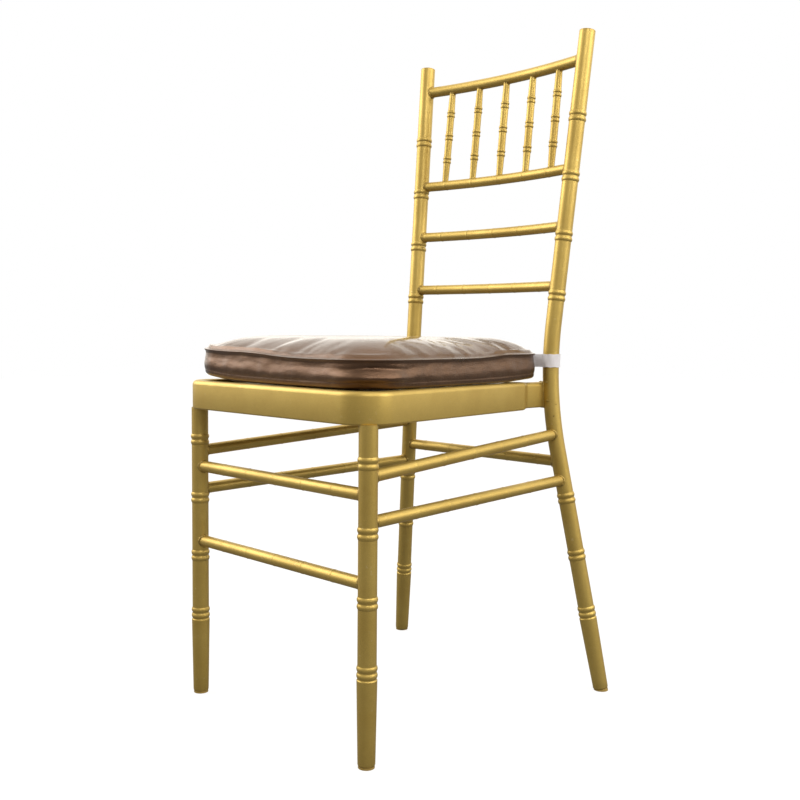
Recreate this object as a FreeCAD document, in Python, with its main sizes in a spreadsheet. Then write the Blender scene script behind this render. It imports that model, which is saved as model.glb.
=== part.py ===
# Chiavari chair: a welded tube frame with bamboo style beads, four bowed back rails, five turned
# spindles, a flat seat hoop with a pan, and a loose leatherette cushion tied on with two straps.
# Frame: +X is the sitter's left, -Y the front, +Z up, the origin on the floor under the middle.
# Millimetres.
import FreeCAD
import Part
import Sketcher
import math
import os
from FreeCAD import Matrix, Placement, Rotation, Vector

doc = FreeCAD.newDocument("ChiavariChair")

# Driving dimensions. Depths are measured backwards from the axis of the front legs.
DIMENSIONS = [
    ("post_height", 915.0, "floor to the top of the rear posts"),
    ("tube_od", 22.2, "legs and posts, outside"),
    ("tube_wall", 1.2, "wall of every tube"),
    ("front_half_span", 170.5, "middle to the axis of a front leg"),
    ("foot_half_span", 201.0, "middle to the axis of a rear post, at the floor"),
    ("knee_half_span", 133.5, "the same at the bend"),
    ("top_half_span", 154.0, "the same at the top"),
    ("foot_depth", 415.0, "rear post at the floor"),
    ("knee_depth", 366.0, "rear post at the bend"),
    ("top_depth", 417.0, "rear post at the top"),
    ("knee_height", 423.0, "height of the bend"),
    ("bend_radius", 600.0, "bend of the rear posts, on the axis"),
    ("bead_od", 24.2, "raised beads on the legs and posts"),
    ("bead_height", 6.2, "one bead along the tube"),
    ("bead_valley", 0.2, "rise of the groove between the two beads of a band"),
    ("bead_pitch", 8.0, "between the two beads of a band"),
    ("leg_band", 112.0, "lowest band of a front leg"),
    ("leg_band_pitch", 79.5, "between its bands"),
    ("post_band", 111.0, "lowest band of a rear post"),
    ("post_band_pitch", 79.2, "between the bands below the seat"),
    ("back_band", 549.5, "lowest band above the seat"),
    ("back_band_pitch", 82.3, "between the bands above the seat"),
    ("shoulder_drop", 9.5, "from a band to the shoulder of the foot"),
    ("shoulder_od", 24.0, "top of the tapered foot"),
    ("shoulder_slope", 1.2, "height of the slope above the shoulder"),
    ("foot_od", 20.6, "bottom of the tapered foot"),
    ("foot_edge", 0.8, "broken edge at the bottom of the foot"),
    ("glide_height", 2.8, "floor to the end of a leg, on its axis"),
    ("glide_od", 19.4, "disc of a glide"),
    ("plug_depth", 16.0, "stem of a glide or plug inside the tube"),
    ("plug_rim", 0.8, "straight edge of the plug on a post"),
    ("plug_crown", 2.0, "height of its dome above the tube"),
    ("fit_gap", 0.15, "between a stem and its bore"),
    ("hoop_top", 431.5, "floor to the top lip of the seat hoop"),
    ("hoop_height", 38.0, "height of the band"),
    ("hoop_thickness", 18.0, "thickness of the band"),
    ("hoop_lip", 6.0, "radius of the top edges"),
    ("hoop_overhang", 21.0, "front leg axis to the outer faces of the hoop"),
    ("hoop_corner", 45.0, "outer radius of the front corners"),
    ("hoop_rear_half", 138.5, "middle to the outer face where the side ends"),
    ("hoop_rear_depth", 311.0, "depth where the full section ends"),
    ("neck_depth", 321.0, "depth where the neck is at its own size"),
    ("neck_half", 133.0, "middle to the outer face of the neck"),
    ("neck_thickness", 14.0, "thickness of the neck"),
    ("neck_height", 35.0, "height of the neck"),
    ("neck_drop", 1.25, "top lip of the hoop down to the top of the neck"),
    ("pan_drop", 5.0, "top lip of the hoop down to the pan"),
    ("pan_depth", 12.0, "depth of the rim of the pan"),
    ("pan_sheet", 1.5, "sheet of the pan"),
    ("pan_gap", 0.2, "between the pan and the hoop"),
    ("rear_rail_height", 30.0, "cross rail behind the pan"),
    ("rear_rail_thickness", 14.0, "its thickness"),
    ("top_rail_drop", 38.7, "top of the posts down to the top rail"),
    ("spindle_drop", 150.3, "top rail down to the rail under the spindles"),
    ("middle_rail_drop", 79.7, "that rail down to the third"),
    ("lower_rail_drop", 82.8, "third rail down to the lowest"),
    ("rail_bow", 16.5, "how far the rails bow backwards"),
    ("top_rail_od", 15.6, "top rail, outside"),
    ("rail_od", 14.4, "the other rails, outside"),
    ("spindle_pitch", 51.7, "between the spindles"),
    ("spindle_od", 10.4, "spindles, the mean of their taper"),
    ("rung_od", 15.2, "rungs, outside"),
    ("front_rung_high", 314.0, "upper front rung"),
    ("front_rung_low", 212.0, "lower front rung"),
    ("side_rung_high", 335.0, "upper side rung, at the front leg"),
    ("side_rung_high_rear", 358.0, "the same at the rear post"),
    ("side_rung_low", 282.5, "lower side rung, at the front leg"),
    ("side_rung_low_rear", 294.5, "the same at the rear post"),
    ("rear_rung_height", 320.0, "rear rung"),
    ("cushion_lift", 0.4, "between the hoop and the cushion"),
    ("cushion_front_half", 183.5, "half width of the cushion at its front"),
    ("cushion_rear_half", 133.0, "half width at its back"),
    ("cushion_front_inset", 10.0, "front face of the hoop to the cushion"),
    ("cushion_front_corner", 50.0, "radius of its front corners"),
    ("cushion_rear_corner", 28.0, "radius of its back corners"),
    ("cushion_tuck", 9.0, "how far the underside is drawn in"),
    ("cushion_lower_seam", 6.0, "underside to the lower seam"),
    ("cushion_upper_seam", 33.0, "underside to the upper seam"),
    ("cushion_crown", 25.5, "upper seam to the top of the crown"),
    ("strap_height", 460.0, "middle of the straps"),
    ("strap_width", 18.0, "width of the strap"),
    ("strap_thickness", 1.5, "thickness of the strap"),
    ("strap_gap", 0.35, "between the strap and the post"),
    ("strap_stub", 6.0, "free end of the strap"),
    ("strap_reach", 4.2, "back edge of the cushion to the strap round a post"),
]

# Worked out from the driving dimensions.
DERIVED = [
    ("top_rail_height", "post_height - top_rail_drop"),
    ("upper_rail_height", "top_rail_height - spindle_drop"),
    ("middle_rail_height", "upper_rail_height - middle_rail_drop"),
    ("lower_rail_height", "middle_rail_height - lower_rail_drop"),
    ("top_rail_depth", "knee_depth + (top_depth - knee_depth) * (top_rail_height - knee_height)"
                       " / (post_height - knee_height)"),
    ("axis_y", "-(top_rail_depth + rail_bow + top_rail_od / 2 - hoop_overhang) / 2"),
    ("bore", "tube_od - 2 * tube_wall"),
    ("mid_wall", "tube_od / 2 - tube_wall / 2"),
    ("lower_length", "sqrt((foot_half_span - knee_half_span)^2 + (foot_depth - knee_depth)^2"
                     " + knee_height^2)"),
    ("upper_length", "sqrt((top_half_span - knee_half_span)^2 + (top_depth - knee_depth)^2"
                     " + (post_height - plug_crown - knee_height)^2)"),
    ("bend_cosine", "((knee_half_span - foot_half_span) * (top_half_span - knee_half_span)"
                    " + (knee_depth - foot_depth) * (top_depth - knee_depth)"
                    " + knee_height * (post_height - plug_crown - knee_height))"
                    " / (lower_length * upper_length)"),
    ("bend_angle", "acos(bend_cosine) / 1deg"),
    ("bend_length", "bend_radius * tan(bend_angle * 0.5deg)"),
    ("lower_scale", "lower_length / knee_height"),
    ("upper_scale", "upper_length / (post_height - plug_crown - knee_height)"),
    ("hoop_bottom", "hoop_top - hoop_height"),
    ("hoop_middle", "hoop_top - hoop_height / 2"),
    ("hoop_front", "axis_y - hoop_overhang"),
    ("hoop_front_half", "front_half_span + hoop_overhang"),
    ("hoop_lean", "atan((hoop_front_half - hoop_rear_half) / (hoop_overhang + hoop_rear_depth)) / 1deg"),
    ("hoop_line_y", "hoop_front + hoop_thickness / 2"),
    ("hoop_line_radius", "hoop_corner - hoop_thickness / 2"),
    ("hoop_end_x", "hoop_rear_half - hoop_thickness / 2 * cos(hoop_lean * 1deg)"),
    ("hoop_end_y", "axis_y + hoop_rear_depth - hoop_thickness / 2 * sin(hoop_lean * 1deg)"),
    ("hoop_bend_x", "hoop_end_x + (hoop_end_y - hoop_line_y) * tan(hoop_lean * 1deg)"
                    " - hoop_line_radius * tan((90 + hoop_lean) / 2 * 1deg)"),
    ("back_rise", "post_height - plug_crown - knee_height"),
]
for rail in ("top_rail", "upper_rail", "middle_rail", "lower_rail"):
    share = f"({rail}_height - knee_height) / back_rise"
    DERIVED += [
        (f"{rail}_half", f"knee_half_span + (top_half_span - knee_half_span) * {share}"),
        (f"{rail}_y", f"axis_y + knee_depth + (top_depth - knee_depth) * {share}"),
        (f"{rail}_radius", f"({rail}_half^2 + rail_bow^2) / (2 * rail_bow)"),
        (f"{rail}_turn", f"asin({rail}_half / {rail}_radius) / 1deg"),
    ]

names = {row[0] for row in DIMENSIONS + DERIVED}
sheet = doc.addObject("Spreadsheet::Sheet", "Dims")
for row, (alias, value, note) in enumerate(DIMENSIONS, start=1):
    sheet.set(f"A{row}", note)
    sheet.set(f"B{row}", str(value))
    sheet.setAlias(f"B{row}", alias)
for row, (alias, formula) in enumerate(DERIVED, start=len(DIMENSIONS) + 2):
    sheet.set(f"A{row}", alias.replace("_", " "))
    sheet.set(f"B{row}", "=" + formula)
    sheet.setAlias(f"B{row}", alias)
doc.recompute()
next_row = [len(DIMENSIONS) + len(DERIVED) + 3]


def measured(alias, value):
    """Keeps a length that was measured between two placed parts in the sheet."""
    row = next_row[0]
    next_row[0] += 1
    names.add(alias)
    sheet.set(f"A{row}", "measured: " + alias.replace("_", " "))
    sheet.set(f"B{row}", str(value))
    sheet.setAlias(f"B{row}", alias)
    sheet.recompute()


def size(expression):
    """The value of an expression of the sheet's aliases."""
    value = sheet.evalExpression(expression)
    return float(getattr(value, "Value", value))


def linked(expression):
    """The same expression, as another object writes it."""
    words = []
    for word in expression.replace("(", "( ").replace(")", " )").split():
        words.append("Dims." + word if word in names else word)
    return " ".join(words)


def bind(thing, path, expression):
    thing.setExpression(path, linked(expression))


# Sketches

def origin_plane(body, role):
    for feature in body.Origin.OriginFeatures:
        if feature.Role == role:
            return feature
    raise ValueError(role)


def sketch_on(body, role, name):
    sketch = body.newObject("Sketcher::SketchObject", name)
    sketch.AttachmentSupport = [(origin_plane(body, role), "")]
    sketch.MapMode = "FlatFace"
    return sketch


def fix_point(sketch, geometry, end, place):
    """Ties one point of a sketch to expressions for its two coordinates."""
    for kind, expression in zip(("DistanceX", "DistanceY"), place):
        if expression == "0":
            axis = -2 if kind == "DistanceX" else -1
            sketch.addConstraint(Sketcher.Constraint("PointOnObject", geometry, end, axis))
            continue
        index = sketch.addConstraint(Sketcher.Constraint(kind, -1, 1, geometry, end, size(expression)))
        bind(sketch, f"Constraints[{index}]", expression)


def outline(sketch, corners):
    """A closed outline of straight edges through corners given as pairs of expressions."""
    points = [Vector(size(across), size(along), 0) for across, along in corners]
    first = sketch.GeometryCount
    for index, start in enumerate(points):
        end = points[(index + 1) % len(points)]
        sketch.addGeometry(Part.LineSegment(start, end))
    for index, corner in enumerate(corners):
        following = first + (index + 1) % len(corners)
        sketch.addConstraint(Sketcher.Constraint("Coincident", first + index, 2, following, 1))
        fix_point(sketch, first + index, 1, corner)


def circle(sketch, place, radius):
    centre = Vector(size(place[0]), size(place[1]), 0)
    index = sketch.addGeometry(Part.Circle(centre, Vector(0, 0, 1), size(radius)))
    rule = sketch.addConstraint(Sketcher.Constraint("Radius", index, size(radius)))
    bind(sketch, f"Constraints[{rule}]", radius)
    if place == ("0", "0"):
        sketch.addConstraint(Sketcher.Constraint("Coincident", index, 3, -1, 1))
    else:
        fix_point(sketch, index, 3, place)


def box_outline(sketch, left, right, bottom, top):
    outline(sketch, [(left, bottom), (right, bottom), (right, top), (left, top)])


def lipped(sketch, left, right, bottom, top):
    """A rectangle with two rounded upper corners; all values are expressions."""
    x1, x2, y1, y2 = size(left), size(right), size(bottom), size(top)
    radius = size("hoop_lip")
    rounds = []
    for across, start in ((x2 - radius, 0), (x1 + radius, 90)):
        ring = Part.Circle(Vector(across, y2 - radius, 0), Vector(0, 0, 1), radius)
        rounds.append(Part.ArcOfCircle(ring, math.radians(start), math.radians(start + 90)))
    lines = [Part.LineSegment(Vector(x1, y1, 0), Vector(x2, y1, 0)),
             Part.LineSegment(Vector(x2, y1, 0), rounds[0].StartPoint),
             Part.LineSegment(rounds[0].EndPoint, rounds[1].StartPoint),
             Part.LineSegment(rounds[1].EndPoint, Vector(x1, y1, 0))]
    edges = [lines[0], lines[1], rounds[0], lines[2], rounds[1], lines[3]]
    for edge in edges:
        sketch.addGeometry(edge)
    sketch.addConstraint(Sketcher.Constraint("Coincident", 0, 2, 1, 1))
    sketch.addConstraint(Sketcher.Constraint("Coincident", 5, 2, 0, 1))
    for before, after in ((1, 2), (2, 3), (3, 4), (4, 5)):
        sketch.addConstraint(Sketcher.Constraint("Tangent", before, 2, after, 1))
    for arc in (2, 4):
        rule = sketch.addConstraint(Sketcher.Constraint("Radius", arc, radius))
        bind(sketch, f"Constraints[{rule}]", "hoop_lip")
    for line, kind, flat, place in ((0, "DistanceY", "Horizontal", bottom), (1, "DistanceX", "Vertical", right),
                                    (3, "DistanceY", "Horizontal", top), (5, "DistanceX", "Vertical", left)):
        sketch.addConstraint(Sketcher.Constraint(flat, line))
        rule = sketch.addConstraint(Sketcher.Constraint(kind, -1, 1, line, 1, size(place)))
        bind(sketch, f"Constraints[{rule}]", place)


# Features

def revolve(body, sketch, name, axis="V_Axis"):
    feature = body.newObject("PartDesign::Revolution", name)
    feature.Profile = sketch
    feature.ReferenceAxis = (sketch, [axis])
    feature.Angle = 360
    body.Tip = feature
    return feature


def repeat(body, feature, sketch, name, length, count):
    pattern = body.newObject("PartDesign::LinearPattern", name)
    pattern.Originals = [feature]
    pattern.Direction = (sketch, ["V_Axis"])
    bind(pattern, "Length", length)
    pattern.Occurrences = count
    body.Tip = pattern
    return pattern


def tube_band(sketch, middle):
    """Half section of a band of two beads on a leg or post, about the upright axis."""
    edge = "( bead_pitch + bead_height ) / 2"
    outline(sketch, [
        ("mid_wall", f"{middle} - {edge}"),
        ("tube_od / 2", f"{middle} - {edge}"),
        ("bead_od / 2", f"{middle} - bead_pitch / 2"),
        ("tube_od / 2 + bead_valley", middle),
        ("bead_od / 2", f"{middle} + bead_pitch / 2"),
        ("tube_od / 2", f"{middle} + {edge}"),
        ("mid_wall", f"{middle} + {edge}"),
    ])


# Places on the rear posts

def post_corners(side):
    """Foot, bend and top of a rear post, on its axis before the bend is rounded."""
    y = size("axis_y")
    foot = Vector(side * size("foot_half_span"), y + size("foot_depth"), 0)
    knee = Vector(side * size("knee_half_span"), y + size("knee_depth"), size("knee_height"))
    top = Vector(side * size("top_half_span"), y + size("top_depth"),
                 size("post_height - plug_crown"))
    return foot, knee, top


def post_place(side):
    """Puts a post's own frame in the chair: the origin at the bend, Z up the lower length."""
    foot, knee, top = post_corners(side)
    upward = (knee - foot).normalize()
    lean = (top - knee).normalize()
    across = (lean - upward * lean.dot(upward)).normalize()
    normal = upward.cross(across)
    matrix = Matrix(across.x, normal.x, upward.x, knee.x,
                    across.y, normal.y, upward.y, knee.y,
                    across.z, normal.z, upward.z, knee.z,
                    0, 0, 0, 1)
    return Placement(matrix)


def post_axis(side, height):
    """The point of a rear post's bent axis at a height, with its direction there."""
    place = post_place(side)
    turn = math.radians(size("bend_angle"))
    radius = size("bend_radius")
    reach = size("bend_length")
    low, high = -size("lower_length"), size("upper_length")
    for _ in range(60):
        middle = (low + high) / 2
        if middle < -reach:
            local, heading = Vector(0, 0, middle), Vector(0, 0, 1)
        elif middle > reach:
            heading = Vector(math.sin(turn), 0, math.cos(turn))
            local = heading * middle
        else:
            angle = turn * (middle + reach) / (2 * reach)
            local = Vector(radius * (1 - math.cos(angle)), 0, radius * math.sin(angle) - reach)
            heading = Vector(math.sin(angle), 0, math.cos(angle))
        point = place.multVec(local)
        if point.z < height:
            low = middle
        else:
            high = middle
    return point, place.Rotation.multVec(heading)


# Front legs

def front_leg(name, side):
    body = doc.addObject("PartDesign::Body", name)
    tube = sketch_on(body, "XZ_Plane", name + "_tube")
    shoulder = "leg_band - shoulder_drop"
    outline(tube, [
        ("foot_od / 2 - tube_wall", "glide_height"),
        ("foot_od / 2 - foot_edge", "glide_height"),
        ("foot_od / 2", "glide_height + foot_edge"),
        ("shoulder_od / 2", f"{shoulder} - shoulder_slope"),
        ("shoulder_od / 2", shoulder),
        ("tube_od / 2", f"{shoulder} + shoulder_slope"),
        ("tube_od / 2", "hoop_bottom"),
        ("bore / 2", "hoop_bottom"),
        ("bore / 2", shoulder),
        ("foot_od / 2 - tube_wall", f"{shoulder} - shoulder_slope"),
    ])
    revolve(body, tube, name + "_turned")
    band = sketch_on(body, "XZ_Plane", name + "_band")
    tube_band(band, "leg_band")
    beads = revolve(body, band, name + "_beads")
    repeat(body, beads, band, name + "_bands", "leg_band_pitch * 3", 4)
    body.Placement.Base = Vector(side * size("front_half_span"), size("axis_y"), 0)
    return body


# Rear posts

def post_path(body, name, start):
    """The bent axis: a straight below the bend, an arc and a straight above it."""
    path = sketch_on(body, "XZ_Plane", name)
    turn = math.radians(size("bend_angle"))
    radius, reach = size("bend_radius"), size("bend_length")
    lean = Vector(math.sin(turn), math.cos(turn), 0)
    upper = lean * size("upper_length")
    path.addGeometry(Part.LineSegment(Vector(0, size(start), 0), Vector(0, -reach, 0)))
    ring = Part.Circle(Vector(radius, -reach, 0), Vector(0, 0, 1), radius)
    path.addGeometry(Part.ArcOfCircle(ring, math.pi - turn, math.pi))
    path.addGeometry(Part.LineSegment(lean * reach, upper))
    path.addConstraint(Sketcher.Constraint("PointOnObject", 0, 1, -2))
    path.addConstraint(Sketcher.Constraint("PointOnObject", 0, 2, -2))
    path.addConstraint(Sketcher.Constraint("Tangent", 0, 2, 1, 2))
    path.addConstraint(Sketcher.Constraint("Tangent", 1, 1, 2, 1))
    rule = path.addConstraint(Sketcher.Constraint("DistanceY", -1, 1, 0, 1, size(start)))
    bind(path, f"Constraints[{rule}]", start)
    rule = path.addConstraint(Sketcher.Constraint("Radius", 1, radius))
    bind(path, f"Constraints[{rule}]", "bend_radius")
    fix_point(path, 2, 2, ("upper_length * sin( bend_angle * 1deg )",
                           "upper_length * cos( bend_angle * 1deg )"))
    return path


def swept_post(body, name, radii, start):
    path = post_path(body, name + "_path", start)
    ring = sketch_on(body, "XY_Plane", name + "_ring")
    bind(ring, "AttachmentOffset.Base.z", start)
    for radius in radii:
        circle(ring, ("0", "0"), radius)
    pipe = body.newObject("PartDesign::AdditivePipe", name + "_pipe")
    pipe.Profile = ring
    pipe.Spine = path
    body.Tip = pipe
    return pipe


def rear_post(name, side):
    body = doc.addObject("PartDesign::Body", name)
    shoulder = "( post_band - knee_height ) * lower_scale - shoulder_drop"
    end = "glide_height - lower_length"
    swept_post(body, name, ("tube_od / 2", "bore / 2"), f"{shoulder} - shoulder_slope")
    foot = sketch_on(body, "XZ_Plane", name + "_foot")
    outline(foot, [
        ("foot_od / 2 - tube_wall", end),
        ("foot_od / 2 - foot_edge", end),
        ("foot_od / 2", f"{end} + foot_edge"),
        ("shoulder_od / 2", f"{shoulder} - shoulder_slope"),
        ("shoulder_od / 2", shoulder),
        ("tube_od / 2", f"{shoulder} + shoulder_slope"),
        ("bore / 2", f"{shoulder} + shoulder_slope"),
        ("foot_od / 2 - tube_wall", f"{shoulder} - shoulder_slope"),
    ])
    revolve(body, foot, name + "_tapered_foot")
    low = sketch_on(body, "XZ_Plane", name + "_low_band")
    tube_band(low, "( post_band - knee_height ) * lower_scale")
    low_beads = revolve(body, low, name + "_low_beads")
    repeat(body, low_beads, low, name + "_low_bands", "post_band_pitch * 2 * lower_scale", 3)
    high = sketch_on(body, "XZ_Plane", name + "_high_band")
    high.AttachmentOffset = Placement(Vector(0, 0, 0), Rotation(Vector(0, 0, -1), size("bend_angle")))
    tube_band(high, "( back_band - knee_height ) * upper_scale")
    high_beads = revolve(body, high, name + "_high_beads")
    repeat(body, high_beads, high, name + "_high_bands", "back_band_pitch * 3 * upper_scale", 4)
    body.Placement = post_place(side)
    return body



SIDES = (("left", 1), ("right", -1))
legs = {}
posts = {}
for word, side in SIDES:
    legs[word] = front_leg(f"front_leg_{word}", side)
    posts[word] = rear_post(f"rear_post_{word}", side)


# Solid forms of the legs and posts, which cope the ends of what is welded to them

def leg_form(word, side):
    core = doc.addObject("Part::Cylinder", f"leg_core_{word}")
    bind(core, "Radius", "mid_wall")
    bind(core, "Height", "hoop_bottom")
    core.Placement = legs[word].Placement
    form = doc.addObject("Part::Fuse", f"leg_form_{word}")
    form.Base = legs[word]
    form.Tool = core
    return form


def post_form(word, side):
    core = doc.addObject("PartDesign::Body", f"post_core_{word}")
    swept_post(core, f"post_core_{word}", ("mid_wall",), "glide_height - lower_length")
    core.Placement = post_place(side)
    form = doc.addObject("Part::Fuse", f"post_form_{word}")
    form.Base = posts[word]
    form.Tool = core
    return form


leg_forms = {word: leg_form(word, side) for word, side in SIDES}
post_forms = {word: post_form(word, side) for word, side in SIDES}


def coped(name, piece, walls):
    """The piece with its ends cut to the shape of what carries it."""
    wall = doc.addObject("Part::Compound", name + "_walls")
    wall.Links = walls
    cut = doc.addObject("Part::Cut", name)
    cut.Base = piece
    cut.Tool = wall
    return cut


# Rungs

def rung(name, start, end, walls):
    """A straight tube from one axis to another."""
    measured(name + "_length", start.distanceToPoint(end))
    body = doc.addObject("PartDesign::Body", name + "_tube")
    tube = sketch_on(body, "XY_Plane", name + "_wall")
    circle(tube, ("0", "0"), "rung_od / 2")
    circle(tube, ("0", "0"), "rung_od / 2 - tube_wall")
    pad = body.newObject("PartDesign::Pad", name + "_run")
    pad.Profile = tube
    bind(pad, "Length", name + "_length")
    body.Tip = pad
    body.Placement = Placement(start, Rotation(Vector(0, 0, 1), end - start))
    return coped(name, body, walls)


def leg_point(side, height):
    return Vector(side * size("front_half_span"), size("axis_y"), size(height))


front_walls = [leg_forms["left"], leg_forms["right"]]
post_walls = [post_forms["left"], post_forms["right"]]
rungs = {}
for name, height in (("front_rung_upper", "front_rung_high"), ("front_rung_lower", "front_rung_low")):
    rungs[name] = rung(name, leg_point(-1, height), leg_point(1, height), front_walls)
for word, side in SIDES:
    for level, height in (("upper", "side_rung_high"), ("lower", "side_rung_low")):
        name = f"side_rung_{word}_{level}"
        rear, _ = post_axis(side, size(height + "_rear"))
        rungs[name] = rung(name, leg_point(side, height), rear, [leg_forms[word], post_forms[word]])
rear_ends = [post_axis(side, size("rear_rung_height"))[0] for side in (-1, 1)]
rungs["rear_rung"] = rung("rear_rung", rear_ends[0], rear_ends[1], post_walls)


# Back rails, bowed backwards between the posts in seven straight runs, the middle one straight across

RAIL_RUNS = 7


def rail_bar(name, rail, radii):
    """A rail's full length, between the axes of the posts, with a circle for each radius."""
    body = doc.addObject("PartDesign::Body", name)
    path = sketch_on(body, "XY_Plane", name + "_path")
    depth = f"{rail}_radius * cos( {rail}_turn * 1deg / {RAIL_RUNS} )"
    corners = [("0", depth)]
    for step in range(1, RAIL_RUNS + 1, 2):
        turn = f"{rail}_turn * 1deg * {step} / {RAIL_RUNS}"
        corners.append((f"{rail}_radius * sin( {turn} )", f"{rail}_radius * cos( {turn} )"))
    points = [Vector(size(across), size(along), 0) for across, along in corners]
    for index, corner in enumerate(corners[1:]):
        path.addGeometry(Part.LineSegment(points[index], points[index + 1]))
        if index:
            path.addConstraint(Sketcher.Constraint("Coincident", index - 1, 2, index, 1))
        else:
            fix_point(path, 0, 1, corners[0])
        fix_point(path, index, 2, corner)
    section = sketch_on(body, "YZ_Plane", name + "_section")
    for radius in radii:
        circle(section, (depth, "0"), radius)
    half = body.newObject("PartDesign::AdditivePipe", name + "_half")
    half.Profile = section
    half.Spine = path
    half.Transition = "Right corner"
    mirror = body.newObject("PartDesign::Mirrored", name + "_whole")
    mirror.Originals = [half]
    mirror.MirrorPlane = (origin_plane(body, "YZ_Plane"), [""])
    body.Tip = mirror
    body.Placement.Base = Vector(0, size(f"{rail}_y + rail_bow - {rail}_radius"), size(f"{rail}_height"))
    return body


rails = {}
for name, rail, diameter in (("back_rail_top", "top_rail", "top_rail_od"),
                             ("back_rail_upper", "upper_rail", "rail_od"),
                             ("back_rail_middle", "middle_rail", "rail_od"),
                             ("back_rail_lower", "lower_rail", "rail_od")):
    tube = rail_bar(name + "_tube", rail, (f"{diameter} / 2", f"{diameter} / 2 - tube_wall"))
    rails[name] = coped(name, tube, post_walls)


# Spindles between the two upper rails

def rail_point(rail, across):
    """The point of a rail's axis at a distance sideways from the middle."""
    radius = size(f"{rail}_radius")
    middle = size(f"{rail}_y + rail_bow - {rail}_radius")
    return Vector(across, middle + math.sqrt(radius**2 - across**2), size(f"{rail}_height"))


def spindle(name, across):
    low, high = rail_point("upper_rail", across), rail_point("top_rail", across)
    measured(name + "_length", low.distanceToPoint(high))
    rod = doc.addObject("Part::Cylinder", name + "_rod")
    bind(rod, "Radius", "spindle_od / 2")
    bind(rod, "Height", name + "_length")
    rod.Placement = Placement(low, Rotation(Vector(0, 0, 1), high - low))
    return coped(name, rod, rail_forms)


rail_forms = [rail_bar("top_rail_form", "top_rail", ("top_rail_od / 2",)),
              rail_bar("upper_rail_form", "upper_rail", ("rail_od / 2",))]
SPINDLES = 5
spindles = {}
for number in range(1, SPINDLES + 1):
    place = ((SPINDLES + 1) / 2 - number) * size("spindle_pitch")
    spindles[f"spindle_{number}"] = spindle(f"spindle_{number}", place)


# Seat: the hoop with its two pinched necks, the cross rail behind it and the pan

def seat_hoop():
    body = doc.addObject("PartDesign::Body", "hoop_band")
    path = sketch_on(body, "XY_Plane", "hoop_path")
    bind(path, "AttachmentOffset.Base.z", "hoop_middle")
    lean = math.radians(size("hoop_lean"))
    bend, line, radius = size("hoop_bend_x"), size("hoop_line_y"), size("hoop_line_radius")
    centre = Vector(bend, line + radius, 0)
    corner = Part.ArcOfCircle(Part.Circle(centre, Vector(0, 0, 1), radius), -math.pi / 2, lean)
    end = Vector(size("hoop_end_x"), size("hoop_end_y"), 0)
    path.addGeometry(Part.LineSegment(Vector(0, line, 0), Vector(bend, line, 0)))
    path.addGeometry(corner)
    path.addGeometry(Part.LineSegment(corner.EndPoint, end))
    path.addConstraint(Sketcher.Constraint("Tangent", 0, 2, 1, 1))
    path.addConstraint(Sketcher.Constraint("Tangent", 1, 2, 2, 1))
    fix_point(path, 0, 1, ("0", "hoop_line_y"))
    fix_point(path, 0, 2, ("hoop_bend_x", "hoop_line_y"))
    fix_point(path, 2, 2, ("hoop_end_x", "hoop_end_y"))
    section = sketch_on(body, "YZ_Plane", "hoop_section")
    lipped(section, "hoop_front", "hoop_front + hoop_thickness", "hoop_bottom", "hoop_top")
    box_outline(section, "hoop_front + tube_wall", "hoop_front + hoop_thickness - tube_wall",
                "hoop_bottom + tube_wall", "hoop_top - hoop_lip")
    band = body.newObject("PartDesign::AdditivePipe", "hoop_half")
    band.Profile = section
    band.Spine = path
    mirror = body.newObject("PartDesign::Mirrored", "hoop_whole")
    mirror.Originals = [band]
    mirror.MirrorPlane = (origin_plane(body, "YZ_Plane"), [""])
    body.Tip = mirror
    return body


def neck_section(name, width, height, place, across):
    """A section of the neck, standing upright at a place, its width along a direction."""
    sketch = doc.addObject("Sketcher::SketchObject", name)
    lipped(sketch, f"0 - {width} / 2", f"{width} / 2", f"0 - {height} / 2", f"{height} / 2")
    forward = across.cross(Vector(0, 0, 1))
    sketch.Placement = Placement(Matrix(across.x, 0, forward.x, place.x,
                                        across.y, 0, forward.y, place.y,
                                        0, 1, 0, place.z,
                                        0, 0, 0, 1))
    return sketch


def hoop_neck():
    """The short bend inwards, from the end of the hoop's side to the cross rail."""
    lean = math.radians(size("hoop_lean"))
    outward = Vector(math.cos(lean), math.sin(lean), 0)
    across = size("neck_half - neck_thickness / 2")
    height = size("hoop_top - neck_drop - neck_height / 2")
    back = size("rear_rail_y - rear_rail_thickness / 2")
    neck = doc.addObject("Part::Loft", "hoop_neck_left")
    neck.Sections = [
        neck_section("neck_start", "hoop_thickness", "hoop_height",
                     Vector(size("hoop_end_x"), size("hoop_end_y"), size("hoop_middle")), outward),
        neck_section("neck_waist", "neck_thickness", "neck_height",
                     Vector(across, size("axis_y + neck_depth"), height), Vector(1, 0, 0)),
        neck_section("neck_end", "neck_thickness", "neck_height",
                     Vector(across, back, height), Vector(1, 0, 0)),
    ]
    neck.Solid = True
    neck.Ruled = True
    other = doc.addObject("Part::Mirroring", "hoop_neck_right")
    other.Source = neck
    other.Normal = Vector(1, 0, 0)
    return [neck, other]


seat_post, _ = post_axis(1, size("hoop_middle"))
measured("rear_rail_y", seat_post.y)
measured("rear_rail_half", seat_post.x)
hoop = doc.addObject("Part::MultiFuse", "hoop_and_necks")
hoop.Shapes = [seat_hoop()] + hoop_neck()
seat = {"seat_hoop": coped("seat_hoop", hoop, post_walls)}


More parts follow.
